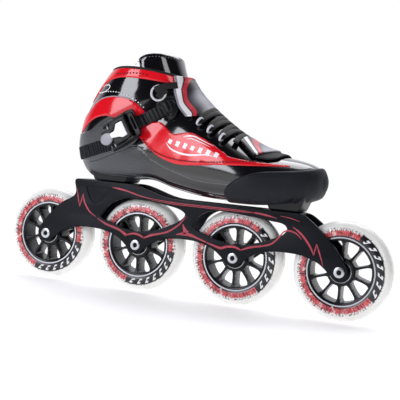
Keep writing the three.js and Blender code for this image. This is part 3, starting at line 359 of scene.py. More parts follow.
    # Inside the casting the milkiness drifts a little from place to place.
    cast = add_node(tree, "ShaderNodeTexNoise", None,
                    {"Vector": local.outputs[0], "Scale": 90.0, "Detail": 3.0}).outputs["Fac"]
    body = add_node(tree, "ShaderNodeMix", {"data_type": "RGBA"}, {
        "Factor": cast, 6: srgb("#efeeea"), 7: srgb("#fbfaf6")}).outputs[2]
    printed = add_node(tree, "ShaderNodeMix", {"data_type": "RGBA"}, {
        "Factor": red, 6: body, 7: srgb("#df4650")}).outputs[2]
    printed = add_node(tree, "ShaderNodeMix", {"data_type": "RGBA"}, {
        "Factor": add_node(tree, "ShaderNodeMath", {"operation": "MAXIMUM"}, {
            0: scratch, 1: rim_line}).outputs[0],
        6: printed, 7: srgb("#2a1820")}).outputs[2]
    printed = add_node(tree, "ShaderNodeMix", {"data_type": "RGBA"}, {
        "Factor": arc, 6: printed, 7: srgb("#131218")}).outputs[2]
    printed = add_node(tree, "ShaderNodeMix", {"data_type": "RGBA"}, {
        "Factor": add_node(tree, "ShaderNodeMath", {"operation": "MULTIPLY"}, {
            0: arc, 1: bar}).outputs[0],
        6: printed, 7: srgb("#f1f1f3")}).outputs[2]
    on_side = add_node(tree, "ShaderNodeMapRange", None, {
        "Value": add_node(tree, "ShaderNodeMath", {"operation": "MULTIPLY"}, {
            0: add_node(tree, "ShaderNodeMath", {"operation": "ABSOLUTE"}, {0: y}).outputs[0],
            1: 1000.0}).outputs[0],
        "From Min": 8.6, "From Max": 9.0}).outputs[0]
    colour = add_node(tree, "ShaderNodeMix", {"data_type": "RGBA"}, {
        "Factor": on_side, 6: body, 7: printed}).outputs[2]
    tree.links.new(colour, shader.inputs["Base Color"])
    tree.links.new(
        add_node(tree, "ShaderNodeMapRange", None, {
            "Value": cast, "From Min": 0.3, "From Max": 0.7, "To Min": 0.24,
            "To Max": 0.34}).outputs[0],
        shader.inputs["Roughness"])
    shader.inputs["IOR"].default_value = 1.5
    shader.inputs["Subsurface Weight"].default_value = 0.25
    shader.inputs["Subsurface Radius"].default_value = (0.6, 0.58, 0.55)
    shader.inputs["Subsurface Scale"].default_value = 0.006
    shader.inputs["Coat Weight"].default_value = 0.25
    shader.inputs["Coat Roughness"].default_value = 0.12
    return material


ARC_CENTRES = (-60.0, -55.0, 2.0, 14.0)

for number in range(1, WHEEL_COUNT + 1):
    centre = Vector(((number - 1) * WHEEL_PITCH, 0.0, AXLE_HEIGHT))
    tyre = shown(f"urethane_tyre_{number}", mesh_of(turned(tyre_profile(), 120, centre)), 60)
    tyre.data.materials.append(cast_urethane(f"cast_urethane_{number}", centre,
                                             ARC_CENTRES[number - 1]))
    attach(tyre, f"wheel_{number}")
    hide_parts(f"wheel_{number}_tyre")


# ---------------------------------------------------------------- hubs
# Glass-filled nylon, injection moulded: a deep rim with a bright band at each face, ten thin
# blades that flare into rim and boss, and a boss that holds the two bearings.

def joined(parts):
    """Several bmeshes as one mesh."""
    whole = bmesh.new()
    for bm in parts:
        part = bpy.data.meshes.new("part")
        bm.to_mesh(part)
        bm.free()
        whole.from_mesh(part)
        bpy.data.meshes.remove(part)
    return mesh_of(whole, outward=False)


def hub_mesh(centre):
    rim = turned([(30.6, -10.4), (31.2, -11.0), (32.9, -11.15), (33.1, -11.5), (34.4, -11.5),
                  (34.65, -11.2), (34.65, 11.2), (34.4, 11.5), (33.1, 11.5), (32.9, 11.15),
                  (31.2, 11.0), (30.6, 10.4), (30.2, 4.0), (30.2, -4.0)], 96, centre)
    boss = turned([(11.25, -11.6), (13.3, -11.6), (13.9, -11.0), (14.5, -6.0), (14.5, 6.0),
                   (13.9, 11.0), (13.3, 11.6), (11.25, 11.6), (11.25, 4.9), (9.6, 4.9), (9.6, -4.9),
                   (11.25, -4.9)],
                  64, centre)
    blades = bmesh.new()
    bmesh.ops.create_grid(blades, x_segments=14, y_segments=4, size=0.5)
    for vert in blades.verts:
        run = vert.co.x + 0.5
        across = vert.co.y * 2
        flare = 1.15 + 2.9 * (abs(run - 0.47) / 0.53) ** 4.5
        vert.co = ((13.0 + 18.6 * run) * MM, 0.0, flare * across * MM)
    strip = list(blades.faces)
    grown = bmesh.ops.extrude_face_region(blades, geom=strip)
    moved = [item for item in grown["geom"] if isinstance(item, bmesh.types.BMVert)]
    moved_set = set(moved)
    for vert in blades.verts:
        vert.co.y = (10.2 if vert in moved_set else -10.2) * MM
        vert.co.y *= 1.0 - 0.10 * math.sin(math.pi * min(max((vert.co.x / MM - 13.0) / 18.6, 0), 1))
    rim_edges = [edge for edge in blades.edges if len(edge.link_faces) == 2
                 and edge.calc_face_angle(0.0) > math.radians(60)]
    bmesh.ops.bevel(blades, geom=rim_edges, offset=0.35 * MM, segments=2, affect="EDGES",
                    profile=0.5, material=-1)
    bmesh.ops.rotate(blades, verts=blades.verts, cent=(0, 0, 0),
                     matrix=Matrix.Rotation(math.radians(18), 3, "Y"))
    bmesh.ops.spin(blades, geom=list(blades.verts) + list(blades.edges) + list(blades.faces),
                   cent=(0, 0, 0),
                   axis=(0, 1, 0), angle=2 * math.pi * 0.9, steps=9, use_duplicate=True)
    bmesh.ops.translate(blades, verts=blades.verts, vec=centre)
    for bm in (rim, boss, blades):
        bmesh.ops.recalc_face_normals(bm, faces=bm.faces)
    return joined((rim, boss, blades))


def moulded_nylon(name, centre, band_radius, band_half):
    """Black nylon with the fine sparkle of its mould, and a bright metal band at a radius in mm."""
    material, tree, shader = new_material(name)
    coords = add_node(tree, "ShaderNodeTexCoord").outputs["Object"]
    local = add_node(tree, "ShaderNodeMapping", None, {"Vector": coords, "Location": -centre})
    flat = add_node(tree, "ShaderNodeVectorMath", {"operation": "MULTIPLY"},
                    {0: local.outputs[0], 1: (1000.0, 0.0, 1000.0)})
    radius = add_node(tree, "ShaderNodeVectorMath", {"operation": "LENGTH"}, {0: flat.outputs[0]})
    band = add_node(tree, "ShaderNodeMath", {"operation": "COMPARE"},
                    {0: radius.outputs["Value"], 1: band_radius, 2: band_half}).outputs[0]
    grain = add_node(tree, "ShaderNodeTexNoise", None,
                     {"Vector": local.outputs[0], "Scale": 2600.0, "Detail": 2.0}).outputs["Fac"]
    colour = add_node(tree, "ShaderNodeMix", {"data_type": "RGBA"},
                      {"Factor": band, 6: srgb("#06070c"), 7: srgb("#c3c4cb")}).outputs[2]
    tree.links.new(colour, shader.inputs["Base Color"])
    tree.links.new(band, shader.inputs["Metallic"])
    rough = add_node(tree, "ShaderNodeMapRange", None, {
        "Value": grain, "From Min": 0.3, "From Max": 0.7, "To Min": 0.22,
        "To Max": 0.32}).outputs[0]
    tree.links.new(rough, shader.inputs["Roughness"])
    bump = add_node(tree, "ShaderNodeBump", None,
                    {"Strength": 0.15, "Distance": 0.0002, "Height": grain}).outputs[0]
    tree.links.new(bump, shader.inputs["Normal"])
    shader.inputs["IOR"].default_value = 1.38
    return material


for number in range(1, WHEEL_COUNT + 1):
    centre = Vector(((number - 1) * WHEEL_PITCH, 0.0, AXLE_HEIGHT))
    hub = shown(f"spoked_hub_{number}", hub_mesh(centre), 40)
    hub.data.materials.append(moulded_nylon(f"moulded_nylon_{number}", centre, 33.75, 0.72))
    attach(hub, f"wheel_{number}")
    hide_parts(f"wheel_{number}_hub")


# ---------------------------------------------------------------- bearings, sleeves and axle bolts
# Ground steel throughout: a ball bearing with black seals at each face of the hub, a sleeve
# between the two, and a bolt across the frame with a low round head.

def ground_steel(name, tint, rough):
    """Bright steel with the fine rings that turning leaves, which stretch its highlights."""
    material, tree, shader = new_material(name)
    coords = add_node(tree, "ShaderNodeTexCoord").outputs["Object"]
    rings = add_node(tree, "ShaderNodeTexNoise", None,
                     {"Vector": coords, "Scale": 1800.0, "Detail": 2.0}).outputs["Fac"]
    spread = add_node(tree, "ShaderNodeMapRange", None, {
        "Value": rings, "From Min": 0.3, "From Max": 0.7, "To Min": rough - 0.05,
        "To Max": rough + 0.08})
    tree.links.new(spread.outputs[0], shader.inputs["Roughness"])
    shader.inputs["Base Color"].default_value = srgb(tint)
    shader.inputs["Metallic"].default_value = 1.0
    return material


bolt_steel = ground_steel("plated_bolt_steel", "#c3c5ca", 0.28)

for number in range(1, WHEEL_COUNT + 1):
    centre = Vector(((number - 1) * WHEEL_PITCH, 0.0, AXLE_HEIGHT))
    sealed = moulded_nylon(f"steel_ring_and_black_seal_{number}", centre, 10.95, 0.5)
    for side, way in (("lateral", -1), ("medial", 1)):
        outline = [(4.35, 12.0), (5.6, 12.0), (5.9, 11.6), (8.9, 11.45), (9.3, 12.0), (10.7, 12.0),
                   (11.0, 11.7), (11.0, 5.3), (4.35, 5.3)]
        bearing = shown(f"sealed_bearing_{number}_{side}",
                        mesh_of(turned([(r, way * y) for r, y in outline], 64, centre)), 30)
        bearing.data.materials.append(sealed)
        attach(bearing, f"wheel_{number}")
        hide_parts(f"wheel_{number}_bearing_{side}")
    sleeve = shown(f"spacer_sleeve_{number}", mesh_of(turned(
        [(4.45, -4.9), (5.9, -4.9), (6.1, -4.7), (6.1, 4.7), (5.9, 4.9), (4.45, 4.9)], 48, centre)),
                   30)
    sleeve.data.materials.append(bolt_steel)
    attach(sleeve, "chassis")
    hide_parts(f"wheel_{number}_axle_sleeve")
    bolt = shown(f"axle_bolt_{number}", mesh_of(turned(
        [(0.0, -16.9), (1.1, -16.9), (1.5, -17.2), (2.3, -17.2), (2.45, -18.7), (2.75, -18.96),
         (4.7, -18.96), (5.3, -18.7), (5.5, -18.3), (5.5, -16.6), (4.0, -16.6), (4.0, 16.8),
         (3.5, 17.4), (0.0, 17.4)],
        48, centre, closed=False)), 30)
    bolt.data.materials.append(bolt_steel)
    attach(bolt, "chassis")
    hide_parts(f"wheel_{number}_axle_bolt")


# ---------------------------------------------------------------- frame
# One piece of aluminium, milled to two side plates with a high rear and a low front deck, broken
# at every edge, bead-blasted and anodised blue-black. Thin red lines are printed on the plates.

def smooth_line(points, steps):
    """Points along a centripetal Catmull-Rom curve through a few points."""
    known = np.array(points, float)
    known = np.vstack([2 * known[0] - known[1], known, 2 * known[-1] - known[-2]])
    places = np.linspace(0, len(points) - 1, steps)
    return catmull(known, places)


def catmull(known, places):
    """Centripetal Catmull-Rom through known[1:-1], at places counted in points."""
    first = np.clip(np.floor(places).astype(int), 0, len(known) - 4)
    part = (places - first)[:, None]
    p0, p1, p2, p3 = (known[first + shift] for shift in range(4))
    gap0, gap1, gap2 = (np.maximum(np.sum((b - a) ** 2, 1, keepdims=True) ** 0.25, 1e-6)
                        for a, b in ((p0, p1), (p1, p2), (p2, p3)))
    start = ((p1 - p0) / gap0 - (p2 - p0) / (gap0 + gap1) + (p2 - p1) / gap1) * gap1
    end = ((p2 - p1) / gap1 - (p3 - p1) / (gap1 + gap2) + (p3 - p2) / gap2) * gap1
    return (p1 + start * part + (-3 * p1 + 3 * p2 - 2 * start - end) * part ** 2
            + (2 * p1 - 2 * p2 + start + end) * part ** 3)


def arc_line(centre, radius, start, end, steps):
    return [(centre[0] + radius * math.cos(math.radians(angle)),
             centre[1] + radius * math.sin(math.radians(angle)))
            for angle in np.linspace(start, end, steps)]


def plate_outline():
    points = [(34.5, 113.9), (96.0, 114.0)]
    points += list(smooth_line([(96, 114), (102, 113.6), (110, 112.0), (121.5, 108.7),
                                (133.5, 105.2), (146, 103.2), (160, 102.8)], 26))[1:]
    points += [(283.0, 103.0)]
    points += list(smooth_line([(283, 103), (290, 101.2), (297, 97.0), (307, 89.2), (316, 80.8),
                                (325, 71.8), (333.5, 61), (338.6, 52.5)], 26))[1:]
    for number in range(WHEEL_COUNT - 1, -1, -1):
        x = number * 110.0
        first = 10.0 if number == WHEEL_COUNT - 1 else -32.0
        points += arc_line((x, 50), 9.0, first, -148.0 if number else -180.0, 16)
        if number:
            points += list(smooth_line([(x - 7.65, 45.2), (x - 22, 56.2), (x - 38, 61.4),
                                        (x - 55, 62.6),
                                        (x - 72, 61.4), (x - 88, 56.2), (x - 102.35, 45.2)],
                                       30))[1:-1]
    points += list(smooth_line([(-9, 50), (-7.3, 55), (-3.6, 62.8), (0.3, 69), (7.2, 77),
                                (14.7, 84.3), (20.6, 88.6), (27.0, 92.0), (32.0, 95.8), (33.4, 100),
                                (32.6, 105), (31.2, 110), (31.9, 112.9), (34.5, 113.9)], 44))[1:-1]
    return points


def rear_window():
    x, z = 110.0, 50.0
    return list(smooth_line([(x - 44.5, z + 26.5), (x - 34, z + 40.5), (x - 17, z + 48),
                             (x, z + 48.5),
                             (x + 30, z + 46), (x + 48, z + 42.6), (x + 53.5, z + 38.5),
                             (x + 50, z + 32.8),
                             (x + 27, z + 20.5), (x + 4, z + 14.8), (x - 14, z + 16),
                             (x - 32, z + 21),
                             (x - 42, z + 24.2), (x - 44.5, z + 26.5)], 70))[:-1]


def front_window():
    x, z = 220.0, 50.0
    return list(smooth_line([(x - 47.0, z + 28.5), (x - 43, z + 36), (x - 34, z + 43),
                             (x - 22, z + 46),
                             (x, z + 45.5), (x + 36, z + 42.2), (x + 50, z + 40.2),
                             (x + 53.8, z + 36),
                             (x + 50, z + 30), (x + 37, z + 23.5), (x + 20, z + 17),
                             (x - 2, z + 13.6),
                             (x - 26, z + 18.5), (x - 43, z + 24.6), (x - 47.0, z + 28.5)],
                            74))[:-1]


def heel_pocket():
    return list(smooth_line([(46, 106.8), (52, 107.4), (60, 107.4), (68, 106.8), (73.6, 105.4),
                             (72, 101.8), (66.5, 95), (61, 90.6), (56.6, 89.6), (52.6, 92.6),
                             (49, 98.6), (46.2, 104), (46, 106.8)], 48))[:-1]


def flat_plate(outlines, y_low, y_high, edge):
    """A plate between two values of y, cut to closed [x, z] outlines, with rounded edges."""
    curve = bpy.data.curves.new("plate", "CURVE")
    curve.dimensions = "2D"
    curve.fill_mode = "BOTH"
    curve.extrude = ((y_high - y_low) / 2 - edge) * MM
    curve.bevel_depth = edge * MM
    curve.bevel_resolution = 2
    curve.offset = -edge * MM
    for outline in outlines:
        spline = curve.splines.new("POLY")
        spline.points.add(len(outline) - 1)
        for point, (x, z) in zip(spline.points, outline):
            point.co = (x * MM, z * MM, 0.0, 1.0)
        spline.use_cyclic_u = True
    holder = bpy.data.objects.new("plate", curve)
    bpy.context.scene.collection.objects.link(holder)
    mesh = bpy.data.meshes.new_from_object(
        holder.evaluated_get(bpy.context.evaluated_depsgraph_get()))
    bpy.data.objects.remove(holder)
    bpy.data.curves.remove(curve)
    bm = bmesh.new()
    bm.from_mesh(mesh)
    bpy.data.meshes.remove(mesh)
    bmesh.ops.rotate(bm, verts=bm.verts, cent=(0, 0, 0),
                     matrix=Matrix.Rotation(math.pi / 2, 3, "X"))
    bmesh.ops.translate(bm, verts=bm.verts, vec=(0, (y_low + y_high) / 2 * MM, 0))
    bmesh.ops.remove_doubles(bm, verts=bm.verts, dist=1e-6)
    bmesh.ops.recalc_face_normals(bm, faces=bm.faces)
    return bm


def block(x0, x1, y0, y1, z0, z1, edge):
    """A cube set between three pairs of limits in millimetres, with its edges rounded."""
    bm = bmesh.new()
    bmesh.ops.create_cube(bm, size=1.0)
    for vert in bm.verts:
        vert.co = (((x0 + x1) / 2 + vert.co.x * (x1 - x0)) * MM,
                   ((y0 + y1) / 2 + vert.co.y * (y1 - y0)) * MM,
                   ((z0 + z1) / 2 + vert.co.z * (z1 - z0)) * MM)
    bmesh.ops.bevel(bm, geom=bm.edges, offset=edge * MM, segments=2, affect="EDGES", profile=0.5,
                    material=-1)
    return bm


def plate_parts(way):
    """One side plate: its wall, and an outer skin that leaves the heel pocket sunk."""
    holes = [rear_window(), front_window()]
    inner, skin, outer = 14.5, 17.2, 18.0
    spans = sorted((way * inner, way * (skin + 0.05)))
    wall = flat_plate([plate_outline()] + holes, *spans, 0.25)
    spans = sorted((way * (skin - 0.9), way * outer))
    face = flat_plate([plate_outline()] + holes + [heel_pocket()], *spans, 0.55)
    return [wall, face]


frame_parts = plate_parts(-1) + plate_parts(1)
frame_parts.append(block(32.5, 96, -15, 15, 108, 113.95, 0.6))
frame_parts.append(block(243, 285, -15, 15, 97.5, 102.95, 0.6))
for number in range(WHEEL_COUNT):
    for way in (-1, 1):
        frame_parts.append(turned([(4.3, way * 12.35), (6.2, way * 12.35), (6.6, way * 12.75),
                                   (6.9, way * 14.7), (4.3, way * 14.7)], 40,
                                  Vector((number * WHEEL_PITCH, 0, AXLE_HEIGHT))))
        bmesh.ops.recalc_face_normals(frame_parts[-1], faces=frame_parts[-1].faces)
milled_frame = shown("milled_frame", joined(frame_parts), 30)


def blasted_anodising():
    """Anodised aluminium: satin, blue-black, with the tiny pits that bead blasting leaves."""
    material, tree, shader = new_material("blasted_black_anodising")
    coords = add_node(tree, "ShaderNodeTexCoord").outputs["Object"]
    pits = add_node(tree, "ShaderNodeTexNoise", None,
                    {"Vector": coords, "Scale": 2400.0, "Detail": 2.0}).outputs["Fac"]
    clouds = add_node(tree, "ShaderNodeTexNoise", None,
                      {"Vector": coords, "Scale": 28.0, "Detail": 4.0}).outputs["Fac"]
    worn = add_node(tree, "ShaderNodeMix", {"data_type": "RGBA"},
                    {"Factor": clouds, 6: srgb("#07080e"), 7: srgb("#0e1019")}).outputs[2]
    tree.links.new(worn, shader.inputs["Base Color"])
    shader.inputs["Metallic"].default_value = 0.35
    shader.inputs["Specular IOR Level"].default_value = 0.25
    rough = add_node(tree, "ShaderNodeMapRange", None, {
        "Value": clouds, "From Min": 0.3, "From Max": 0.7, "To Min": 0.36,
        "To Max": 0.48}).outputs[0]
    tree.links.new(rough, shader.inputs["Roughness"])
    bump = add_node(tree, "ShaderNodeBump", None,
                    {"Strength": 0.25, "Distance": 0.0002, "Height": pits}).outputs[0]
    tree.links.new(bump, shader.inputs["Normal"])
    return material


milled_frame.data.materials.append(blasted_anodising())
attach(milled_frame, "chassis")
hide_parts("frame")

for node in ("mount_washer_rear", "mount_bolt_rear", "mount_washer_front", "mount_bolt_front"):
    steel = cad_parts[node]
    steel.data.materials.clear()
    steel.data.materials.append(bolt_steel)


# ---------------------------------------------------------------- printed lines on the frame
# Crimson pad-printed lines on both faces of both plates, a few hundredths thick: a tapering
# streak along each rail, a wave under each window, and a small lightning flash at each end.

def ribbon(bm, points, widths, place, way):
    """A printed ribbon along [x, z] points in millimetres, laid by place(x, z) on one side."""
    centre = smooth_line(points, 6 * len(points))
    half = np.interp(np.linspace(0, len(points) - 1, len(centre)), range(len(points)), widths) / 2
    ahead = np.gradient(centre, axis=0)
    ahead /= np.linalg.norm(ahead, axis=1)[:, None]
    sideways = np.stack([-ahead[:, 1], ahead[:, 0]], 1) * half[:, None]
    rows = [[bm.verts.new(place(*(spot + s * shift))) for s in (-1, 1)]
            for spot, shift in zip(centre, sideways)]
    for (a, b), (c, d) in zip(rows, rows[1:]):
        face = bm.faces.new((a, b, d, c))
        face.normal_update()
        if face.normal.y * way < 0:
            face.normal_flip()


RED_LINES = [
    ([(77.0, 108.4), (85, 107.6), (94.7, 106.2), (110.5, 102.6), (124.7, 100.6)],
     [0.4, 2.0, 1.6, 1.2, 0.8]),
    ([(124.7, 100.8), (150, 99.4), (180, 99.3), (215, 99.4), (239, 99.2)],
     [0.5, 0.9, 0.9, 0.9, 0.5]),
    ([(124.7, 99.4), (150, 97.9), (180, 97.8), (215, 98.0), (239, 98.1)],
     [0.4, 0.7, 0.7, 0.7, 0.4]),
    ([(221, 98.9), (239, 98.6), (252, 97.4), (262.5, 95.4)], [0.4, 1.8, 1.8, 0.3]),
    ([(266, 98.3), (276, 97.3), (286, 95.0)], [0.4, 0.9, 0.4]),
    ([(34.9, 103.5), (36.6, 94.5), (39.6, 83.6)], [0.2, 1.4, 0.6]),
    ([(39.6, 83.4), (41.2, 91.0), (42.6, 98.2)], [0.6, 1.2, 0.5]),
    ([(42.6, 98.4), (44.6, 90.4), (47.4, 85.4), (52.7, 79.2), (60.2, 74.9)],
     [0.5, 1.7, 1.8, 1.4, 0.4]),
    ([(61.8, 73.8), (72, 68.9), (82, 66.2), (91.5, 63.2), (98.6, 59.2)], [0.4, 2.0, 2.0, 2.2, 3.0]),
    ([(98.2, 59.4), (106, 61.9), (113.5, 61.3), (119.5, 58.6)], [1.2, 2.0, 2.2, 1.6]),
    ([(118.5, 58.3), (127, 62.4), (138, 65.6), (147, 69.0), (157.5, 76.8), (165.5, 86.8)],
     [1.4, 2.6, 1.6, 1.9, 1.5, 0.4]),
    ([(162.2, 78.5), (164.6, 73.2), (167, 69.2)], [0.4, 3.4, 6.4]),
    ([(155.5, 66.6), (163, 68.2), (171, 68.0), (180, 65.6), (191, 62.4)],
     [0.4, 3.0, 3.2, 1.9, 1.4]),
    ([(190, 62.6), (199, 60.2), (206, 58.7), (213, 61.0), (221, 61.6), (228.5, 59.0)],
     [1.4, 1.9, 2.6, 2.2, 2.2, 1.4]),
    ([(227.5, 59.2), (238, 63.4), (250, 66.2), (259, 69.4), (266.6, 77.0), (271.4, 83.4),
      (277, 84.6), (284, 82.6), (290, 77.4)], [1.2, 2.0, 1.5, 1.6, 1.5, 1.4, 1.5, 1.3, 0.3]),
    ([(279.5, 89.0), (287, 84.4), (294.5, 77.2), (300.4, 69.4), (303.4, 63.4)],
     [0.3, 1.9, 1.9, 1.7, 0.8]),
    ([(303.4, 63.4), (304.4, 70.0), (305.2, 75.4)], [0.8, 1.3, 0.6]),
    ([(305.2, 75.4), (308.4, 67.4), (311.4, 60.4), (313.6, 53.6)], [0.6, 1.6, 1.2, 0.3]),
]
print_bm = bmesh.new()
for line, widths in RED_LINES:
    for way in (-1, 1):
        ribbon(print_bm, line, widths, lambda x, z: (x * MM, way * 18.03 * MM, z * MM), way)
frame_print = shown("frame_red_print", mesh_of(print_bm, outward=False))


def pad_print_ink(name, tint):
    """Screen ink, slightly raised and satin, with thin places where it wears first."""
    material, tree, shader = new_material(name)
    coords = add_node(tree, "ShaderNodeTexCoord").outputs["Object"]
    thin = add_node(tree, "ShaderNodeTexNoise", None,
                    {"Vector": coords, "Scale": 260.0, "Detail": 4.0}).outputs["Fac"]
    worn = add_node(tree, "ShaderNodeMapRange", None, {
        "Value": thin, "From Min": 0.35, "From Max": 0.6, "To Min": 0.72, "To Max": 1.0}).outputs[0]
    colour = add_node(tree, "ShaderNodeMix", {"data_type": "RGBA"},
                      {"Factor": worn, 6: srgb("#3a2b33"), 7: srgb(tint)}).outputs[2]
    tree.links.new(colour, shader.inputs["Base Color"])
    shader.inputs["Roughness"].default_value = 0.38
    return material


frame_print.data.materials.append(pad_print_ink("crimson_pad_print", "#b8364a"))
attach(frame_print, "chassis")


# ---------------------------------------------------------------- the last
# Every piece of the boot is lasted over one foot shape, so each is drawn here as a piece of skin
# at its own height over that shape: slices through the foot from the toe cap to the ankle, each
# with its instep and sole point, middle, half width and how square its sole side is.

LAST = [
    ((272.5, 27), (272.5, 11), 12, 9, 0.9),
    ((269, 32.5), (269, 5), 10.5, 19, 0.8),
    ((261, 37), (261, 1), 7, 29, 0.72),
    ((249, 40), (249, -4), 4, 37, 0.66),
    ((230, 42.5), (230, -6.5), 1, 44, 0.62),
    ((209, 47.5), (207, -7.5), -1, 47.3, 0.6),
    ((187, 58), (181, -7.5), -2.3, 46, 0.6),
    ((169, 69.5), (153, -6), -3.8, 42.3, 0.62),
    ((154, 80.5), (123, -1.6), -3.8, 38.3, 0.66),
    ((144, 89), (94, 5.2), -2.8, 35.8, 0.7),
    ((137, 95), (63, 2.5), -1, 34.6, 0.76),
    ((133, 99), (35, 0.8), 0, 34.4, 0.82),
    ((130.5, 101.5), (16.5, 4.5), 0, 34.8, 0.86),
    ((128.5, 104), (6.5, 16), 0, 35.6, 0.88),
    ((126.5, 106.5), (2.6, 32), 0, 36.4, 0.88),
    ((124.5, 109), (3.2, 49), 0, 37, 0.88),
    ((122, 112), (7.6, 67.5), 0, 37, 0.88),
    ((120, 116), (16.2, 86), 0, 36.4, 0.9),
    ((117, 123.5), (27.2, 105.4), 0, 36, 0.92),
    ((113.5, 133), (38.4, 121), 0, 35.6, 0.95),
    ((110, 144), (48, 137), 0, 34.6, 1),
]
HEEL = (27.0, 115.0)


def station_curve(rows):
    known = np.array(rows, float)
    return np.vstack([2 * known[0] - known[1], known, 2 * known[-1] - known[-2]])


INSTEP_LINE = station_curve([(HEEL[0] + top[0], HEEL[1] + top[1]) for top, *_ in LAST])
SOLE_LINE = station_curve([(HEEL[0] + low[0], HEEL[1] + low[1]) for _, low, *_ in LAST])
GIRTH = station_curve([row[2:] for row in LAST])
TOE_DOME = -0.03


def foot(t, turn):
    """Points of the last in millimetres: t from toe to ankle, turn from the sole round the outer
    side. Below zero, t closes the toe with a low dome."""
    t, turn = np.asarray(t, float), np.asarray(turn, float)
    place = np.clip(t, 0, 1) * (len(LAST) - 1)
    top, low, girth = catmull(INSTEP_LINE, place), catmull(SOLE_LINE, place), catmull(GIRTH, place)
    up, out = np.cos(turn * 2 * np.pi), np.sin(turn * 2 * np.pi)
    power = np.where(up > 0, girth[:, 2], 0.95)
    along = np.sign(up) * np.abs(up) ** power / 2
    closing = np.clip(t / TOE_DOME, 0, 1)
    middle = (top + low) / 2 + (low - top) * (along * (1 - closing))[:, None]
    y = girth[:, 0] - np.sign(out) * girth[:, 1] * np.abs(out) ** power * (1 - closing)
    return np.stack([middle[:, 0] + 2.0 * (1 - (1 - closing) ** 2), y, middle[:, 1]], 1)


def skin(t, turn, height):
    """Points over the last, height millimetres out along its normal."""
    t, turn = np.asarray(t, float), np.asarray(turn, float)
    beside = np.clip(t, 0.95 * TOE_DOME, 1)
    ahead = foot(beside + 0.001, turn) - foot(beside - 0.001, turn)
    around = foot(beside, turn + 0.002) - foot(beside, turn - 0.002)
    normal = np.cross(around, ahead)
    normal /= np.maximum(np.linalg.norm(normal, axis=1), 1e-9)[:, None]
    return foot(t, turn) + normal * np.asarray(height, float).reshape(-1, 1)


def inside(outline):
    """Signed distance in millimetres from a side-view outline, below zero inside it."""
    corners = np.array(outline, float)
    nexts = np.roll(corners, -1, 0)

    def distance(points):
        spot = points[:, None, [0, 2]]
        edge = nexts - corners
        reach = np.clip(np.sum((spot - corners) * edge, 2) / np.maximum(np.sum(edge ** 2, 1), 1e-9),
                        0, 1)
        gap = np.linalg.norm(corners + edge * reach[:, :, None] - spot, axis=2).min(1)
        crosses = ((corners[:, 1] > spot[:, :, 1]) != (nexts[:, 1] > spot[:, :, 1])) & (
            spot[:, :, 0] < edge[:, 0] * (spot[:, :, 1] - corners[:, 1]) / np.where(
                np.abs(edge[:, 1]) < 1e-9, 1e-9, edge[:, 1]) + corners[:, 0])
        return np.where(crosses.sum(1) % 2 == 1, -gap, gap)

    return distance


def cut_contour(bm, field, level, drop_outside):
    """Splits a parameter-space grid along field = level, and may drop what lies above it."""
    verts = list(bm.verts)
    params = np.array([vert.co[:2] for vert in verts])
    value = dict(zip(verts, field(params[:, 0], params[:, 1]) - level))
    close = 0.02
    line = [vert for vert in verts if abs(value[vert]) <= close]
    for edge in list(bm.edges):
        a, b = edge.verts
        if abs(value[a]) > close and abs(value[b]) > close and value[a] * value[b] < 0:
            _, fresh = bmesh.utils.edge_split(edge, a, value[a] / (value[a] - value[b]))
            value[fresh] = 0.0
            line.append(fresh)
    bmesh.ops.connect_verts(bm, verts=line, check_degenerate=True)
    if drop_outside:
        outside = []
        for face in bm.faces:
            worst = sum(value[vert] for vert in face.verts) / len(face.verts)
            if worst > 0:
                outside.append(face)
        bmesh.ops.delete(bm, geom=outside, context="FACES")


ARC_T, ARC_TURN = np.meshgrid(np.linspace(TOE_DOME, 1, 121), np.linspace(-0.6, 1.1, 171),
                              indexing="ij")
ARC_POINTS = foot(ARC_T.ravel(), ARC_TURN.ravel()).reshape(121, 171, 3)
ARC_LONG = np.cumsum(np.linalg.norm(np.diff(ARC_POINTS, axis=0, prepend=ARC_POINTS[:1]), axis=2), 0)
ARC_ROUND = np.cumsum(np.linalg.norm(np.diff(ARC_POINTS, axis=1, prepend=ARC_POINTS[:, :1]),
                                     axis=2), 1)


def surface_uv(t, turn):
    """Millimetres along and round the last, for weaves that follow the surface."""
    place_t = np.clip((t - TOE_DOME) / (1 - TOE_DOME), 0, 1) * 120
    place_turn = np.clip((turn + 0.6) / 1.7, 0, 1) * 170
    i, j = np.clip(place_t.astype(int), 0, 119), np.clip(place_turn.astype(int), 0, 169)
    a, b = place_t - i, place_turn - j
    return np.stack([(1 - a) * (1 - b) * grid[i, j] + a * (1 - b) * grid[i + 1, j]
                     + (1 - a) * b * grid[i, j + 1] + a * b * grid[i + 1, j + 1]
                     for grid in (ARC_LONG, ARC_ROUND)], 1)


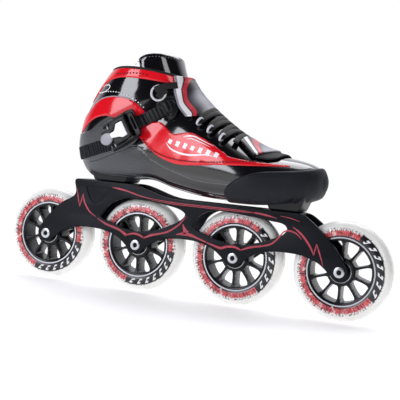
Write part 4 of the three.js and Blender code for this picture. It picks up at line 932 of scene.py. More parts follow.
def lasted(name, field, spans, steps, height, levels, wall, marks=None):
    """A piece of skin over the last. field(t, turn) is below zero where there is material,
    height(t, turn, depth) gives its outer face, levels are the contours cut into it, and marks
    are attributes kept on its points for the material."""
    (t_low, t_high), (turn_low, turn_high) = spans
    bm = bmesh.new()
    bmesh.ops.create_grid(bm, x_segments=steps[0], y_segments=steps[1], size=0.5)
    for vert in bm.verts:
        vert.co.x = t_low + (vert.co.x + 0.5) * (t_high - t_low)
        vert.co.y = turn_low + (vert.co.y + 0.5) * (turn_high - turn_low)
    params = np.array([vert.co[:2] for vert in bm.verts])
    far = [vert for vert, value in zip(bm.verts, field(params[:, 0], params[:, 1])) if value > 12]
    bmesh.ops.delete(bm, geom=far, context="VERTS")
    for number, level in enumerate(sorted(levels, reverse=True)):
        cut_contour(bm, field, level, drop_outside=number == 0)
    bmesh.ops.delete(bm, geom=[vert for vert in bm.verts if not vert.link_faces], context="VERTS")
    params = np.array([vert.co[:2] for vert in bm.verts])
    t, turn = params[:, 0], params[:, 1]
    places = skin(t, turn, height(t, turn, -field(t, turn)))
    uv = surface_uv(t, turn)
    pattern = bm.loops.layers.uv.new("surface")
    layers = {mark: bm.verts.layers.float.new(mark) for mark in marks or {}}
    values = {mark: distance(t, turn) for mark, distance in (marks or {}).items()}
    bm.verts.index_update()
    for face in bm.faces:
        for loop in face.loops:
            loop[pattern].uv = uv[loop.vert.index] * MM
    for number, vert in enumerate(bm.verts):
        vert.co = places[number] * MM
        for mark, layer in layers.items():
            vert[layer] = values[mark][number]
    bmesh.ops.remove_doubles(bm, verts=bm.verts, dist=8e-5)
    bmesh.ops.recalc_face_normals(bm, faces=bm.faces)
    centre = Vector((0.14, 0.0, 0.15))
    if sum((face.calc_center_median() - centre).dot(face.normal) * face.calc_area()
           for face in bm.faces) < 0:
        bmesh.ops.reverse_faces(bm, faces=bm.faces)
    piece = shown(name, mesh_of(bm, outward=False), 50)
    solidify = piece.modifiers.new("wall", "SOLIDIFY")
    solidify.thickness = wall * MM
    solidify.offset = -1.0
    return piece


def rounded(low, high, radius):
    """A height that rises from low at a piece's edge to high, a radius in from it."""
    return lambda t, turn, depth: low + (high - low) * np.sqrt(
        1 - (1 - np.clip(depth / radius, 0, 1)) ** 2)


def eased(radius):
    return (0.0, -0.1 * radius, -0.35 * radius, -radius)


def area(points):
    """A field from a side-view outline measured from the heel's corner, as [x, z] points."""
    distance = inside(np.array([tuple(point) for point in points], float) + HEEL)
    return lambda t, turn: distance(foot(t, turn))


def edge_distance(points):
    """Distance in millimetres from an open side-view line, seen from the side."""
    line = np.array(points, float) + HEEL

    def distance(t, turn):
        spot = foot(t, turn)[:, None, [0, 2]]
        step = line[1:] - line[:-1]
        reach = np.clip(np.sum((spot - line[:-1]) * step, 2) / np.sum(step ** 2, 1), 0, 1)
        return np.linalg.norm(line[:-1] + step * reach[:, :, None] - spot, axis=2).min(1)

    return distance


def worn(piece, node, material, slot):
    piece.data.materials.append(material)
    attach(piece, "chassis")
    if node:
        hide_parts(node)


LATERAL, MEDIAL, ROUND_HEEL, OVER_INSTEP = (0.02, 0.5), (0.5, 0.98), (-0.5, 0.5), (0.08, 0.92)


# ---------------------------------------------------------------- boot materials
# Twill-woven carbon under clear resin, polished patent leather with a faint grain, matt rubber,
# moulded plastic, ribbed webbing, brushed lining cloth and drawn metal.

def woven_carbon(name, pitch, fade):
    """Two-by-two twill under clear resin: the tows that run one way are painted lighter, a painted
    sheen standing for tows that catch the light in turn.
    The resin is tinted black toward the toe, from the first to the second X of fade."""
    material, tree, shader = new_material(name)
    uv = add_node(tree, "ShaderNodeUVMap", {"uv_map": "surface"}).outputs[0]
    turned_uv = add_node(tree, "ShaderNodeMapping", None,
                         {"Vector": uv, "Rotation": (0, 0, math.radians(6)),
                          "Scale": (1 / pitch, 1 / pitch, 1)})
    parts = add_node(tree, "ShaderNodeSeparateXYZ", None, {0: turned_uv.outputs[0]})
    cells = [add_node(tree, "ShaderNodeMath", {"operation": "FLOOR"},
                      {0: parts.outputs[axis]}).outputs[0]
             for axis in (0, 1)]
    shift = add_node(tree, "ShaderNodeMath", {"operation": "SUBTRACT"}, {0: cells[0], 1: cells[1]})
    phase = add_node(tree, "ShaderNodeMath", {"operation": "FLOORED_MODULO"},
                     {0: shift.outputs[0], 1: 4.0})
    warp = add_node(tree, "ShaderNodeMath", {"operation": "LESS_THAN"},
                    {0: phase.outputs[0], 1: 1.5}).outputs[0]
    within_cell = [add_node(tree, "ShaderNodeMath", {"operation": "PINGPONG"},
                            {0: parts.outputs[axis], 1: 0.5}).outputs[0] for axis in (0, 1)]
    swell = add_node(tree, "ShaderNodeMix", {"data_type": "FLOAT"},
                     {0: warp, 2: within_cell[0], 3: within_cell[1]}).outputs[0]
    place = add_node(tree, "ShaderNodeSeparateXYZ", None,
                     {0: add_node(tree, "ShaderNodeTexCoord").outputs["Object"]}).outputs[0]
    bare = add_node(tree, "ShaderNodeMapRange", {"interpolation_type": "SMOOTHSTEP"},
                    {"Value": place, "From Min": fade[0], "From Max": fade[1],
                     "To Min": 1.0, "To Max": 0.0}).outputs[0]
    # The lighter warp colour is a painted sheen: both tows are black fibre, and only the light they
    # catch differs.
    painted_warp_sheen = add_node(tree, "ShaderNodeMath", {"operation": "MULTIPLY"},
                          {0: warp, 1: bare}).outputs[0]
    colour = add_node(tree, "ShaderNodeMix", {"data_type": "RGBA"},
                      {0: painted_warp_sheen, 6: srgb("#050608"), 7: srgb("#3f434d")}).outputs[2]
    tree.links.new(colour, shader.inputs["Base Color"])
    cloth_rough = add_node(tree, "ShaderNodeMapRange", None,
                           {"Value": warp, "To Min": 0.42, "To Max": 0.26}).outputs[0]
    rough = add_node(tree, "ShaderNodeMix", {"data_type": "FLOAT"},
                     {0: bare, 2: 0.07, 3: cloth_rough}).outputs[0]
    tree.links.new(rough, shader.inputs["Roughness"])
    relief = add_node(tree, "ShaderNodeMath", {"operation": "MULTIPLY"},
                      {0: swell, 1: bare}).outputs[0]
    bump = add_node(tree, "ShaderNodeBump", None,
                    {"Strength": 0.5, "Distance": 0.0004, "Height": relief}).outputs[0]
    tree.links.new(bump, shader.inputs["Normal"])
    shader.inputs["IOR"].default_value = 1.6
    shader.inputs["Coat Weight"].default_value = 0.45
    shader.inputs["Coat Roughness"].default_value = 0.06
    return material


def grained(name, tint, deep_tint, grain_scale, rough_low, rough_high, bump_strength, coat=0.0,
            ior=1.5):
    """A surface with fine grain: its colour, roughness and relief all follow the same noise."""
    material, tree, shader = new_material(name)
    coords = add_node(tree, "ShaderNodeTexCoord").outputs["Object"]
    grain = add_node(tree, "ShaderNodeTexNoise", None,
                     {"Vector": coords, "Scale": grain_scale, "Detail": 3.0}).outputs["Fac"]
    broad = add_node(tree, "ShaderNodeTexNoise", None,
                     {"Vector": coords, "Scale": 22.0, "Detail": 3.0}).outputs["Fac"]
    colour = add_node(tree, "ShaderNodeMix", {"data_type": "RGBA"},
                      {0: broad, 6: srgb(deep_tint), 7: srgb(tint)}).outputs[2]
    tree.links.new(colour, shader.inputs["Base Color"])
    rough = add_node(tree, "ShaderNodeMapRange", None, {
        "Value": broad, "From Min": 0.3, "From Max": 0.7, "To Min": rough_low,
        "To Max": rough_high}).outputs[0]
    tree.links.new(rough, shader.inputs["Roughness"])
    bump = add_node(tree, "ShaderNodeBump", None,
                    {"Strength": bump_strength, "Distance": 0.0003, "Height": grain}).outputs[0]
    tree.links.new(bump, shader.inputs["Normal"])
    shader.inputs["IOR"].default_value = ior
    shader.inputs["Coat Weight"].default_value = coat
    shader.inputs["Coat Roughness"].default_value = 0.05
    return material


def ribbed_cloth(name, tint, deep_tint, pitch):
    """Woven webbing: fine cross ribs that follow the piece's own surface."""
    material, tree, shader = new_material(name)
    uv = add_node(tree, "ShaderNodeUVMap", {"uv_map": "surface"}).outputs[0]
    ribs = add_node(tree, "ShaderNodeTexWave", {"bands_direction": "DIAGONAL"},
                    {"Vector": uv, "Scale": 0.314 / pitch, "Distortion": 0.6,
                     "Detail": 2.0}).outputs["Fac"]
    colour = add_node(tree, "ShaderNodeMix", {"data_type": "RGBA"},
                      {0: ribs, 6: srgb(deep_tint), 7: srgb(tint)}).outputs[2]
    tree.links.new(colour, shader.inputs["Base Color"])
    shader.inputs["Roughness"].default_value = 0.72
    bump = add_node(tree, "ShaderNodeBump", None,
                    {"Strength": 0.6, "Distance": 0.0004, "Height": ribs}).outputs[0]
    tree.links.new(bump, shader.inputs["Normal"])
    return material


def striped_label(name, mark, stripes, reach):
    """Coated cloth with bands of colour, each starting so many millimetres from a marked edge.
    Where the bands grade from dark to light, the grading is a painted reflection.
    """
    material, tree, shader = new_material(name)
    distance = add_node(tree, "ShaderNodeAttribute", {"attribute_name": mark}).outputs["Fac"]
    share = add_node(tree, "ShaderNodeMath", {"operation": "DIVIDE"},
                     {0: distance, 1: reach}).outputs[0]
    ramp = add_node(tree, "ShaderNodeValToRGB", None, {"Fac": share})
    bands = ramp.color_ramp.elements
    bands[0].position, bands[0].color = 0.0, srgb(stripes[0][1])
    bands[1].position, bands[1].color = 1.0, srgb(stripes[-1][1])
    for start, tint in stripes[1:-1]:
        bands.new(start / reach).color = srgb(tint)
    tree.links.new(ramp.outputs[0], shader.inputs["Base Color"])
    uv = add_node(tree, "ShaderNodeUVMap", {"uv_map": "surface"}).outputs[0]
    weave = add_node(tree, "ShaderNodeTexVoronoi", None, {"Vector": uv, "Scale": 1400.0}).outputs[0]
    bump = add_node(tree, "ShaderNodeBump", None,
                    {"Strength": 0.25, "Distance": 0.0002, "Height": weave}).outputs[0]
    tree.links.new(bump, shader.inputs["Normal"])
    shader.inputs["Roughness"].default_value = 0.38
    shader.inputs["Metallic"].default_value = 0.15
    return material


# Glossy over a dark, fine diagonal pattern. Tows are 1.3 mm here, a little wider than real ones,
# so that they show.
carbon_weave = woven_carbon("twill_carbon_in_resin", 1.3 * MM, (0.098, 0.132))
# A poured polyurethane film over leather: mirror-like windows of light, softened by faint grain.
black_patent = grained("black_patent_leather", "#09080e", "#050408", 900.0, 0.07, 0.13, 0.03, 0.6,
                       1.65)
red_patent = grained("red_patent_leather", "#ea1728", "#de101f", 900.0, 0.10, 0.16, 0.03, 0.35,
                     1.45)
# Moulded from tools with a fine spark-eroded grain of well under a millimetre: the rubber is
# almost matt, the plastic satin, and the metallised and painted plastics bright.
matt_rubber = grained("matt_bumper_rubber", "#10131d", "#0b0e16", 1500.0, 0.46, 0.58, 0.5, 0.0,
                      1.35)
moulded_black = grained("moulded_black_plastic", "#0b0c12", "#08090d", 1800.0, 0.34, 0.46, 0.25,
                        0.0, 1.4)
silver_plate = grained("silvered_plastic", "#fbfbfd", "#f2f2f6", 1200.0, 0.16, 0.24, 0.03)
grey_tab = grained("grey_plastic", "#a6a3ae", "#96939f", 1400.0, 0.3, 0.4, 0.1)
white_ink = grained("white_screen_ink", "#fdfcff", "#f4f2f8", 1600.0, 0.3, 0.4, 0.1)
# Spun polyester thread and brushed knitted lining scatter light and show no reflection.
dark_red_thread = grained("dark_red_thread", "#5e0a13", "#4a0710", 2600.0, 0.6, 0.7, 0.3)
white_thread = grained("white_thread", "#f6f5fa", "#e6e5ec", 2600.0, 0.6, 0.7, 0.3)
grey_thread = grained("grey_thread", "#6e6c76", "#5c5a64", 2600.0, 0.6, 0.7, 0.3)
brushed_lining = grained("brushed_lining", "#1a1a1f", "#0f0f13", 2200.0, 0.85, 0.95, 0.6)
# Polyester webbing with ribs 1.1 mm apart, and a finer flat lace: dull, with dark lines between.
woven_webbing = ribbed_cloth("black_webbing", "#17181d", "#08080b", 1.1 * MM)
woven_lace = ribbed_cloth("flat_black_lace", "#1a1b20", "#060608", 0.9 * MM)
# The steel of the lace loops and the strap ring is drawn light grey and non-metal: a painted
# reflection of the bright room stands in for the steel's own mirror.
bright_wire = grained("steel_with_painted_reflection", "#d9d9e0", "#c6c6ce", 1500.0, 0.2, 0.3, 0.05)


# ---------------------------------------------------------------- carbon cup, upper and lining
# A carbon cup carries the heel and the sole, on two blocks that bolt to the frame. Black patent
# leather rises from it, split over the instep, over a soft lining and an insole.

def collar_line(drop):
    return smooth_line([(-10, 114 - drop), (36, 117.5 - drop), (58, 120.3 - drop),
                        (88, 119.3 - drop), (125, 113.5 - drop)], 20)


below_shell_edge = area([
    (-20, 33), (58, 34),
    *smooth_line([(82, 40), (90.5, 36), (100.6, 26.5), (135, 15.3), (158, 10.3), (185, 10)], 9),
    (320, 12), (320, -60), (-20, -60)])
below_collar = area([*collar_line(0.0), (320, 113.5), (320, -40), (-10, -40)])
below_lining = area([*collar_line(1.5), (320, 112), (320, -40), (-10, -40)])
in_throat = area([*smooth_line([(203, 60), (200, 46), (186, 45), (160, 60), (132, 85), (112, 100),
                                (100, 122)], 20), (84, 170), (240, 170)])
in_tongue = area([*smooth_line([(214, 46), (206, 37), (185, 33), (150, 47), (112, 77), (90, 100),
                                (77, 120), (69, 146)], 22), (69, 180), (320, 180), (320, 46)])
below_tongue_top = area([*smooth_line([(60, 116), (68.5, 126), (76, 133.5), (90, 137.6),
                                       (130, 139)], 16),
                         (320, 141.5), (320, -40), (60, -40)])


def open_throat(t, turn):
    return np.maximum(in_throat(t, turn), np.abs(foot(t, turn)[:, 1]) - 16)


def upper_field(t, turn):
    return np.max([-below_shell_edge(t, turn) - 0.3, below_collar(t, turn), -open_throat(t, turn)],
                  0)


worn(lasted("carbon_cup", below_shell_edge, ((TOE_DOME, 1), ROUND_HEEL), (190, 120),
            rounded(-0.3, 0.0, 0.4), eased(0.4), wall=2.4), "carbon_shell", carbon_weave, "carbon")
worn(lasted("patent_upper", upper_field, ((TOE_DOME, 1), ROUND_HEEL), (190, 130),
            rounded(-0.6, 0.0, 0.8), eased(0.8), wall=2.4), "boot_upper", black_patent,
     "black_patent")


def tongue_field(t, turn):
    return np.maximum(in_tongue(t, turn), below_tongue_top(t, turn))


def lining_field(t, turn):
    return np.maximum(below_lining(t, turn), -in_tongue(t, turn) + 0.8)


tongue = lasted("padded_tongue", tongue_field, ((0.1, 1.18), OVER_INSTEP), (130, 90),
                rounded(-5.4, -2.6, 6.0), eased(6.0), wall=4.2)
worn(tongue, "tongue", black_patent, "black_patent")
lining = lasted("padded_lining", lining_field, ((TOE_DOME, 1), ROUND_HEEL), (120, 90),
                rounded(-4.2, -3.2, 4.0), eased(4.0), wall=3.2)
worn(lining, "liner", brushed_lining, "lining")

insole_line = smooth_line([(-6, 9), (35, 8.5), (63, 10), (94, 11.5), (123, 7.5), (153, 3.5),
                           (181, 2), (230, 2.5), (280, 7)], 14) + (0, 3.0)
worn(lasted("insole_bed", area([*insole_line, (280, -30), (-6, -30)]), ((0.0, 0.9), (-0.4, 0.4)),
            (110, 60), rounded(-8.0, -7.4, 2.0), eased(2.0), wall=2.2),
     "insole", brushed_lining, "lining")


def mount_block(x, low, reach, flare):
    """A block under the cup that tapers down to the deck it is bolted to."""
    bm = bmesh.new()
    bmesh.ops.create_cube(bm, size=2.0)
    for vert in bm.verts:
        top = vert.co.z > 0
        vert.co = ((x + vert.co.x * (reach + (flare if top else 0))) * MM,
                   vert.co.y * (17 + 3 * top) * MM,
                   (124.0 if top else low + 0.3) * MM)
    bmesh.ops.bevel(bm, geom=bm.edges, offset=2.2 * MM, segments=3, affect="EDGES", profile=0.5,
                    material=-1)
    return bm


blocks = shown("carbon_mount_blocks",
               joined([mount_block(73, 114, 19, 3), mount_block(268, 103, 15.5, 8)]))
blocks.data.materials.append(moulded_black)
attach(blocks, "chassis")


# ---------------------------------------------------------------- red panels
# Red patent panels lie on the upper: a quarter on each side, a band round the heel and one round
# the collar. Dark red stitches follow their edges, with plain white strokes on the quarters.

QUARTER = [
    *smooth_line([(87.6, 46.3), (83.7, 50), (84.2, 56.5), (94.8, 64.6), (106.9, 66.1),
                  (117.2, 59.2), (124, 55.2), (132.4, 56.4), (142.3, 58), (158, 53.2),
                  (170.1, 47.4), (183.9, 40.2)], 60),
    *smooth_line([(187, 37.5), (196.4, 36), (215.9, 34.3), (248, 33.8)], 10),
    *smooth_line([(246, 32.8), (206.3, 29.8), (181, 28.2), (153.6, 25.5), (132.1, 24.9),
                  (111.6, 30.1), (96.6, 38.3)], 20)]
HEEL_BAND = [(-20, 62),
             *smooth_line([(8, 62), (17.7, 69.9), (29.1, 81.9), (41.5, 87.6), (59.3, 89.3),
                           (72.9, 86.7), (84, 79.5), (93, 71)], 24),
             (85, 64),
             *smooth_line([(66, 66), (55.4, 66.8), (45.3, 68.4), (32.3, 65.9), (20.5, 59.2),
                           (11.1, 49.9)], 14), (-20, 40)]
COLLAR_BAND = [*collar_line(0.6), (114.8, 109.0), *smooth_line([
    (108, 106.8), (93.5, 108.4), (76, 109.6), (56.3, 109.4), (42.8, 106), (33.4, 99.8),
    (24.5, 90.3), (18, 82)], 20), (-10, 76)]
panel_height, panel_levels = rounded(-0.2, 1.3, 1.2), eased(1.2)
for side, spans in (("lateral", LATERAL), ("medial", MEDIAL)):
    worn(lasted(f"quarter_{side}", area(QUARTER), ((0.02, 0.75), spans), (170, 60), panel_height,
                panel_levels, wall=1.0), f"quarter_panel_{side}", red_patent, "red_patent")
worn(lasted("heel_band", area(HEEL_BAND), ((0.55, 1), (-0.4, 0.4)), (90, 90), panel_height,
            panel_levels, wall=1.0), "heel_panel", red_patent, "red_patent")
worn(lasted("collar_band", area(COLLAR_BAND), ((0.6, 1), (-0.45, 0.45)), (80, 100), panel_height,
            panel_levels, wall=1.0), "collar_band", red_patent, "red_patent")


def bare_skin():
    """The last itself as a tree of faces, to lay stitches and small parts on."""
    t, turn = np.meshgrid(np.linspace(TOE_DOME, 1, 200), np.linspace(-0.5, 0.5, 140), indexing="ij")
    places = foot(t.ravel(), turn.ravel()) * MM
    faces = [(i * 140 + j, i * 140 + j + 1, (i + 1) * 140 + j + 1, (i + 1) * 140 + j)
             for i in range(199) for j in range(139)]
    return BVHTree.FromPolygons([Vector(place) for place in places], faces)


skin_tree = bare_skin()


def on_side(x, z, way, height):
    """The point over the boot's outer (way -1) or inner (way 1) side at x and z, and its normal."""
    spot, normal, _, _ = skin_tree.ray_cast(Vector((x * MM, way * 0.2, z * MM)),
                                            Vector((0, -way, 0)))
    if spot is None:
        spot, normal, _, _ = skin_tree.find_nearest(Vector((x * MM, way * 0.03, z * MM)))
    if normal.y * way < 0:
        normal = -normal
    return spot + normal * height * MM, normal


def side_line(points, way, height):
    """A line of points and normals over one side of the boot, through [x, z] points."""
    places = [on_side(x, z, way, height) for x, z in smooth_line(points, 40 * len(points))]
    return np.array([p[0] for p in places]), np.array([p[1] for p in places])


def rim_line(field, turns, t_span, height):
    """A line of points and normals along a field's edge, at each turn."""
    low, high = np.full(len(turns), t_span[0]), np.full(len(turns), t_span[1])
    for _ in range(30):
        middle = (low + high) / 2
        within = field(middle, turns) < 0
        low, high = np.where(within, middle, low), np.where(within, high, middle)
    points = skin(low, turns, height)
    return points * MM, skin(low, turns, height + 1) - points


def stitches(name, lines, pitch, length, thick, material, slot):
    """Single stitches along lines of points and normals."""
    bm = bmesh.new()
    for points, normals in lines:
        run = np.concatenate([[0], np.cumsum(np.linalg.norm(np.diff(points, axis=0), axis=1))]) / MM
        for start in np.arange(0.4 * pitch, run[-1] - 0.5 * length, pitch):
            spots = ((-length / 2, points), (length / 2, points), (0, normals))
            a, b, normal = (Vector([np.interp(start + shift, run, values[:, axis])
                                    for axis in range(3)]) for shift, values in spots)
            ahead = (b - a).normalized()
            across = normal.cross(ahead).normalized()
            turned_frame = Matrix((ahead * length / 2 * MM, across * thick * MM,
                                   ahead.cross(across) * thick * 0.8 * MM)).transposed()
            bmesh.ops.create_icosphere(bm, subdivisions=1, radius=1.0, matrix=Matrix.Translation(
                (a + b) / 2) @ turned_frame.to_4x4())
    worn(shown(name, mesh_of(bm), 80), None, material, slot)


quarter_seam = [(116.5, 161.8), (129.9, 151.6), (146.5, 146.3), (166.6, 144.0), (189.7, 144.6),
                (216.4, 146.6), (245, 149.2)]
stitches("dark_red_quarter_stitches", [side_line(quarter_seam, way, 1.85) for way in (-1, 1)], 3.0,
         2.0, 0.9,
         dark_red_thread, "red_patent")
heel_seam = [(66, 208.9), (81.6, 208.9), (93.9, 206.5), (105.5, 201.2), (115.5, 193.4)]
stitches("white_heel_stitches", [side_line(heel_seam, way, 0.4) for way in (-1, 1)], 3.6, 2.1, 0.75,
         white_thread, "silver_cloth")
collar_marks = [(78, 227.8), (90, 228.6), (104, 229.8), (117, 228.2)]
stitches("collar_perforations", [side_line(collar_marks, way, 1.4) for way in (-1, 1)], 3.6, 2.2,
         0.95,
         dark_red_thread, "red_patent")

tongue_seam = rim_line(lambda t, turn: below_tongue_top(t, turn) + 4.0, np.linspace(0.22, 0.5, 60),
                       (0.8, 1.0), -2.4)
stitches("tongue_stitches", [tongue_seam], 3.4, 2.0, 0.5, grey_thread, "silver_cloth")

stroke_bm = bmesh.new()
STROKES = [
    ([(145.0, 160.4), (150.0, 155.6), (157.7, 152.3), (165, 150.8), (173.6, 150.2), (184, 151.0),
      (194, 151.6), (202, 150.2)], [0.3, 1.4, 1.8, 1.9, 1.8, 1.3, 0.9, 0.2]),
    ([(163.3, 167.2), (169, 169.0), (176, 168.6), (186, 165.0), (197.8, 160.6)],
     [0.2, 1.7, 1.5, 0.9, 0.2]),
    ([(167.5, 165.6), (174, 166.2), (184, 163.4), (195, 159.4)], [0.2, 1.1, 0.9, 0.2]),
]
for way in (-1, 1):
    for line, widths in STROKES:
        ribbon(stroke_bm, line, widths, lambda x, z: on_side(x, z, way, 1.5)[0], way)
    for number in range(7):
        x, z = 149.5 + number * 8.9, 162.0 - number * 1.62
        tall = 2.5 if number % 3 else 2.1
        ribbon(stroke_bm, [(x - 0.9, z - tall), (x, z), (x + 0.9, z + tall)], [4.6, 4.2, 4.6],
               lambda x, z: on_side(x, z, way, 1.5)[0], way)
    # a blank oval badge behind the collar
    oval = [(63 + 8.4 * math.cos(a) - 1.2 * math.sin(a),
             211.8 + 3.0 * math.cos(a) + 3.3 * math.sin(a))
            for a in np.linspace(0, 2 * math.pi, 25)]
    ribbon(stroke_bm, oval, [1.1] * 25, lambda x, z: on_side(x, z, way, 0.3)[0], way)
worn(shown("white_quarter_strokes", mesh_of(stroke_bm, outward=False)), None, white_ink,
     "silver_cloth")


def swept(bm, points, normals, half_wide, half_thick, sides, square=2.0, closed=False):
    """A cord or band along points in millimetres, its flat face turned along the normals."""
    points, normals = np.array(points, float), np.array(normals, float)
    if closed:
        ahead = np.roll(points, -1, 0) - np.roll(points, 1, 0)
    else:
        ahead = np.gradient(points, axis=0)
    ahead /= np.linalg.norm(ahead, axis=1)[:, None]
    across = np.cross(ahead, normals)
    across /= np.linalg.norm(across, axis=1)[:, None]
    out = np.cross(across, ahead)
    wide = np.broadcast_to(half_wide, len(points))
    thick = np.broadcast_to(half_thick, len(points))
    angles = np.linspace(0, 2 * np.pi, sides, endpoint=False)
    ring_x = np.sign(np.cos(angles)) * np.abs(np.cos(angles)) ** (2 / square)
    ring_y = np.sign(np.sin(angles)) * np.abs(np.sin(angles)) ** (2 / square)
    rings = [[bm.verts.new((points[i] + across[i] * wide[i] * a + out[i] * thick[i] * b) * MM)
              for a, b in zip(ring_x, ring_y)] for i in range(len(points))]
    pairs = zip(rings, rings[1:] + rings[:1]) if closed else zip(rings, rings[1:])
    for ring, after in pairs:
        for k in range(sides):
            bm.faces.new((ring[k], ring[(k + 1) % sides], after[(k + 1) % sides], after[k]))
    if not closed:
        bm.faces.new(rings[0][::-1])
        bm.faces.new(rings[-1])


# Black piping closes the collar's edge, and a pale one the lower edge of the black heel.
piping = bmesh.new()
edge_points, edge_normals = rim_line(below_collar, np.linspace(-0.43, 0.43, 90), (0.72, 1.0), 0.2)
swept(piping, edge_points / MM, edge_normals, 1.5, 1.3, sides=10)
worn(shown("collar_piping", mesh_of(piping), 60), None, woven_webbing, "lining")
heel_piping = bmesh.new()
heel_band_top = area([*HEEL_BAND[1:26], (93, -50), (-40, -50), (-40, 62)])
edge_points, edge_normals = rim_line(heel_band_top, np.linspace(-0.27, 0.27, 90), (0.6, 0.97), 0.5)
swept(heel_piping, edge_points / MM, edge_normals, 0.75, 0.75, sides=8)
worn(shown("pale_heel_piping", mesh_of(heel_piping), 60), None, grey_tab, "silver_cloth")


# ---------------------------------------------------------------- toe bumper and heel cuff
# A matt rubber bumper is bonded over the toe. Round the heel lies a woven carbon cuff, and a
# ribbed rubber strap runs over it from the heel's back to the buckle.

BUMPER = [(185.3, -24), (186.4, 2), *smooth_line([
    (187.5, 5), (192, 10.6), (204.5, 19.5), (219.7, 24.7), (249.7, 28.9), (264, 32), (272, 36)],
                                                 16),
    (300, 40), (300, -24)]


def bumper_field(t, turn):
    """The bumper's outline, less the middle of the sole."""
    spot = foot(t, turn)
    sole = np.max([np.abs(spot[:, 1]) - 26, spot[:, 2] - 117.5, spot[:, 0] - 277], 0)
    return np.maximum(bumper_area(t, turn), -sole)


bumper_area = area(BUMPER)
worn(lasted("rubber_bumper", bumper_field, ((TOE_DOME, 0.5), ROUND_HEEL), (150, 130),
            rounded(-0.3, 2.3, 2.6), eased(2.6), wall=1.6), "toe_bumper", matt_rubber,
     "bumper_rubber")
CUFF = [(-20, 48.5),
        *smooth_line([(14, 48.5), (27.8, 53.5), (44.8, 63.2), (54, 67), (66, 67.4)], 12),
        *smooth_line([(80, 64), (86, 55), (82, 45), (72, 36.5), (52, 27.5), (38, 21.5), (25, 18.5)],
                     16), (-20, 23)]
worn(lasted("woven_cuff", area(CUFF), ((0.5, 0.95), (-0.4, 0.4)), (90, 90), rounded(0.0, 1.9, 1.8),
            eased(1.8), wall=1.6), "heel_cuff", carbon_weave, "black_plastic")

ribbed = bmesh.new()
rib_line = smooth_line([(39.0, 141.9), (47, 144.2), (55.5, 146.6), (66, 150.0), (79, 154.0)], 120)
places = [on_side(x, z, -1, 2.3) for x, z in rib_line]
reach = np.concatenate([[0], np.cumsum(np.linalg.norm(np.diff([p[0] for p in places], axis=0),
                                                      axis=1))]) / MM
wave = np.clip(1.8 * np.sin(reach * 2 * np.pi / 3.3), -1, 1)
swept(ribbed, [p[0] / MM for p in places], [p[1] for p in places], 6.7 + 0.25 * wave,
      0.9 + 0.5 * wave,
      sides=20, square=5.0)
worn(shown("ribbed_heel_strap", mesh_of(ribbed), 50), None, matt_rubber, "black_plastic")


# ---------------------------------------------------------------- straps
# Black webbing crosses the instep under a padded label strap, a smaller one crosses the toes, and
# a moulded pad with a raised border takes the toothed strap's end.

INSTEP_BAND = [(57, 58), (72, 41), (141, 99), (150, 120), (130, 122)]
in_band, over_cuff = area(INSTEP_BAND), area(
    [(-20, -20), (320, -20), (320, 20), (97, 20), (97, 50), (84, 69), (40, 80), (-20, 80)])


def band_field(t, turn):
    """The webbing: short on the outer side, down to the cuff on the inner one."""
    spot = foot(t, turn)
    outer_stub = np.maximum(spot[:, 0] - 155, spot[:, 1] + 12)
    return np.max([in_band(t, turn), -outer_stub, -over_cuff(t, turn)], 0)


worn(lasted("instep_webbing", band_field, ((0.35, 1), OVER_INSTEP), (110, 110),
            rounded(1.9, 3.1, 0.8),
            eased(0.8), wall=1.4), "instep_strap", woven_webbing, "black_webbing")
ANCHOR = smooth_line([(48, 47), (56, 39), (70, 45), (80, 57), (73, 66), (60, 60), (48, 47)],
                     40)[:-1]
worn(lasted("strap_anchor_plate", area(ANCHOR), ((0.5, 1), MEDIAL), (90, 70),
            rounded(2.6, 4.6, 1.4),
            eased(1.4), wall=1.4), "strap_anchor", moulded_black, "black_plastic")
PAD = smooth_line([(98.5, 83.2), (100.3, 89.4), (107.3, 94.3), (115.5, 95.1), (121.7, 89.4),
                   (124.2, 79.7), (121.6, 70.5), (116.1, 68.8), (106.9, 76.4),
                   (98.5, 83.2)], 54)[:-1]


def pad_height(t, turn, depth):
    """A crowned pad with a channel a few millimetres in from its edge, and one round its middle."""
    channel = np.exp(-((depth - 3.6) / 0.55) ** 2) + np.exp(-((depth - 6.4) / 0.5) ** 2)
    return rounded(0.2, 3.9, 2.2)(t, turn, depth) - 0.75 * channel


worn(lasted("moulded_strap_pad", area(PAD), ((0.35, 0.85), (0.2, 0.5)), (110, 80), pad_height,
            (0.0, -0.25, -0.8, -2.2, -3.0, -3.6, -4.2, -5.8, -6.4, -7.0), wall=3.0),
     "strap_pad", moulded_black, "black_plastic")

SHIN_BACK = [(110, 115),
             *smooth_line([(112.6, 107), (113.4, 98.5), (121.5, 83), (134.5, 71.8)], 16)]
SHIN_STRAP = [*SHIN_BACK, (147, 74), (157, 79), (190, 110), (150, 114.5), (130, 115)]
# The bands up to 10.2 mm are printed stripes. Past them the silver field runs from dark to light
# away from the back edge: the silver is real, and the grading is a painted reflection of the bright
# room.
shin_label = striped_label("shin_strap_label", "from_back", [
    (0.0, "#85848f"), (1.6, "#85848f"), (1.9, "#f0eef4"), (5.6, "#f0eef4"), (5.9, "#1c1a22"),
    (6.6, "#1c1a22"), (6.9, "#c9303f"), (9.8, "#c9303f"), (10.2, "#1d1b24"), (13.0, "#35333f"),
    (18.0, "#6f6e7b"), (27.0, "#a5a4b2"), (40.0, "#c4c3d0")], 40.0)
worn(lasted("shin_strap_label", area(SHIN_STRAP), ((0.3, 1), OVER_INSTEP), (120, 120),
            rounded(3.4, 4.4, 1.0),
            eased(1.0), wall=1.6, marks={"from_back": edge_distance(SHIN_BACK)}),
     "shin_strap", shin_label, "silver_cloth")
TOE_BASE = [(212, 37), (225, 35.8), (233, 38), (236.5, 49), (240, 75), (205, 75)]
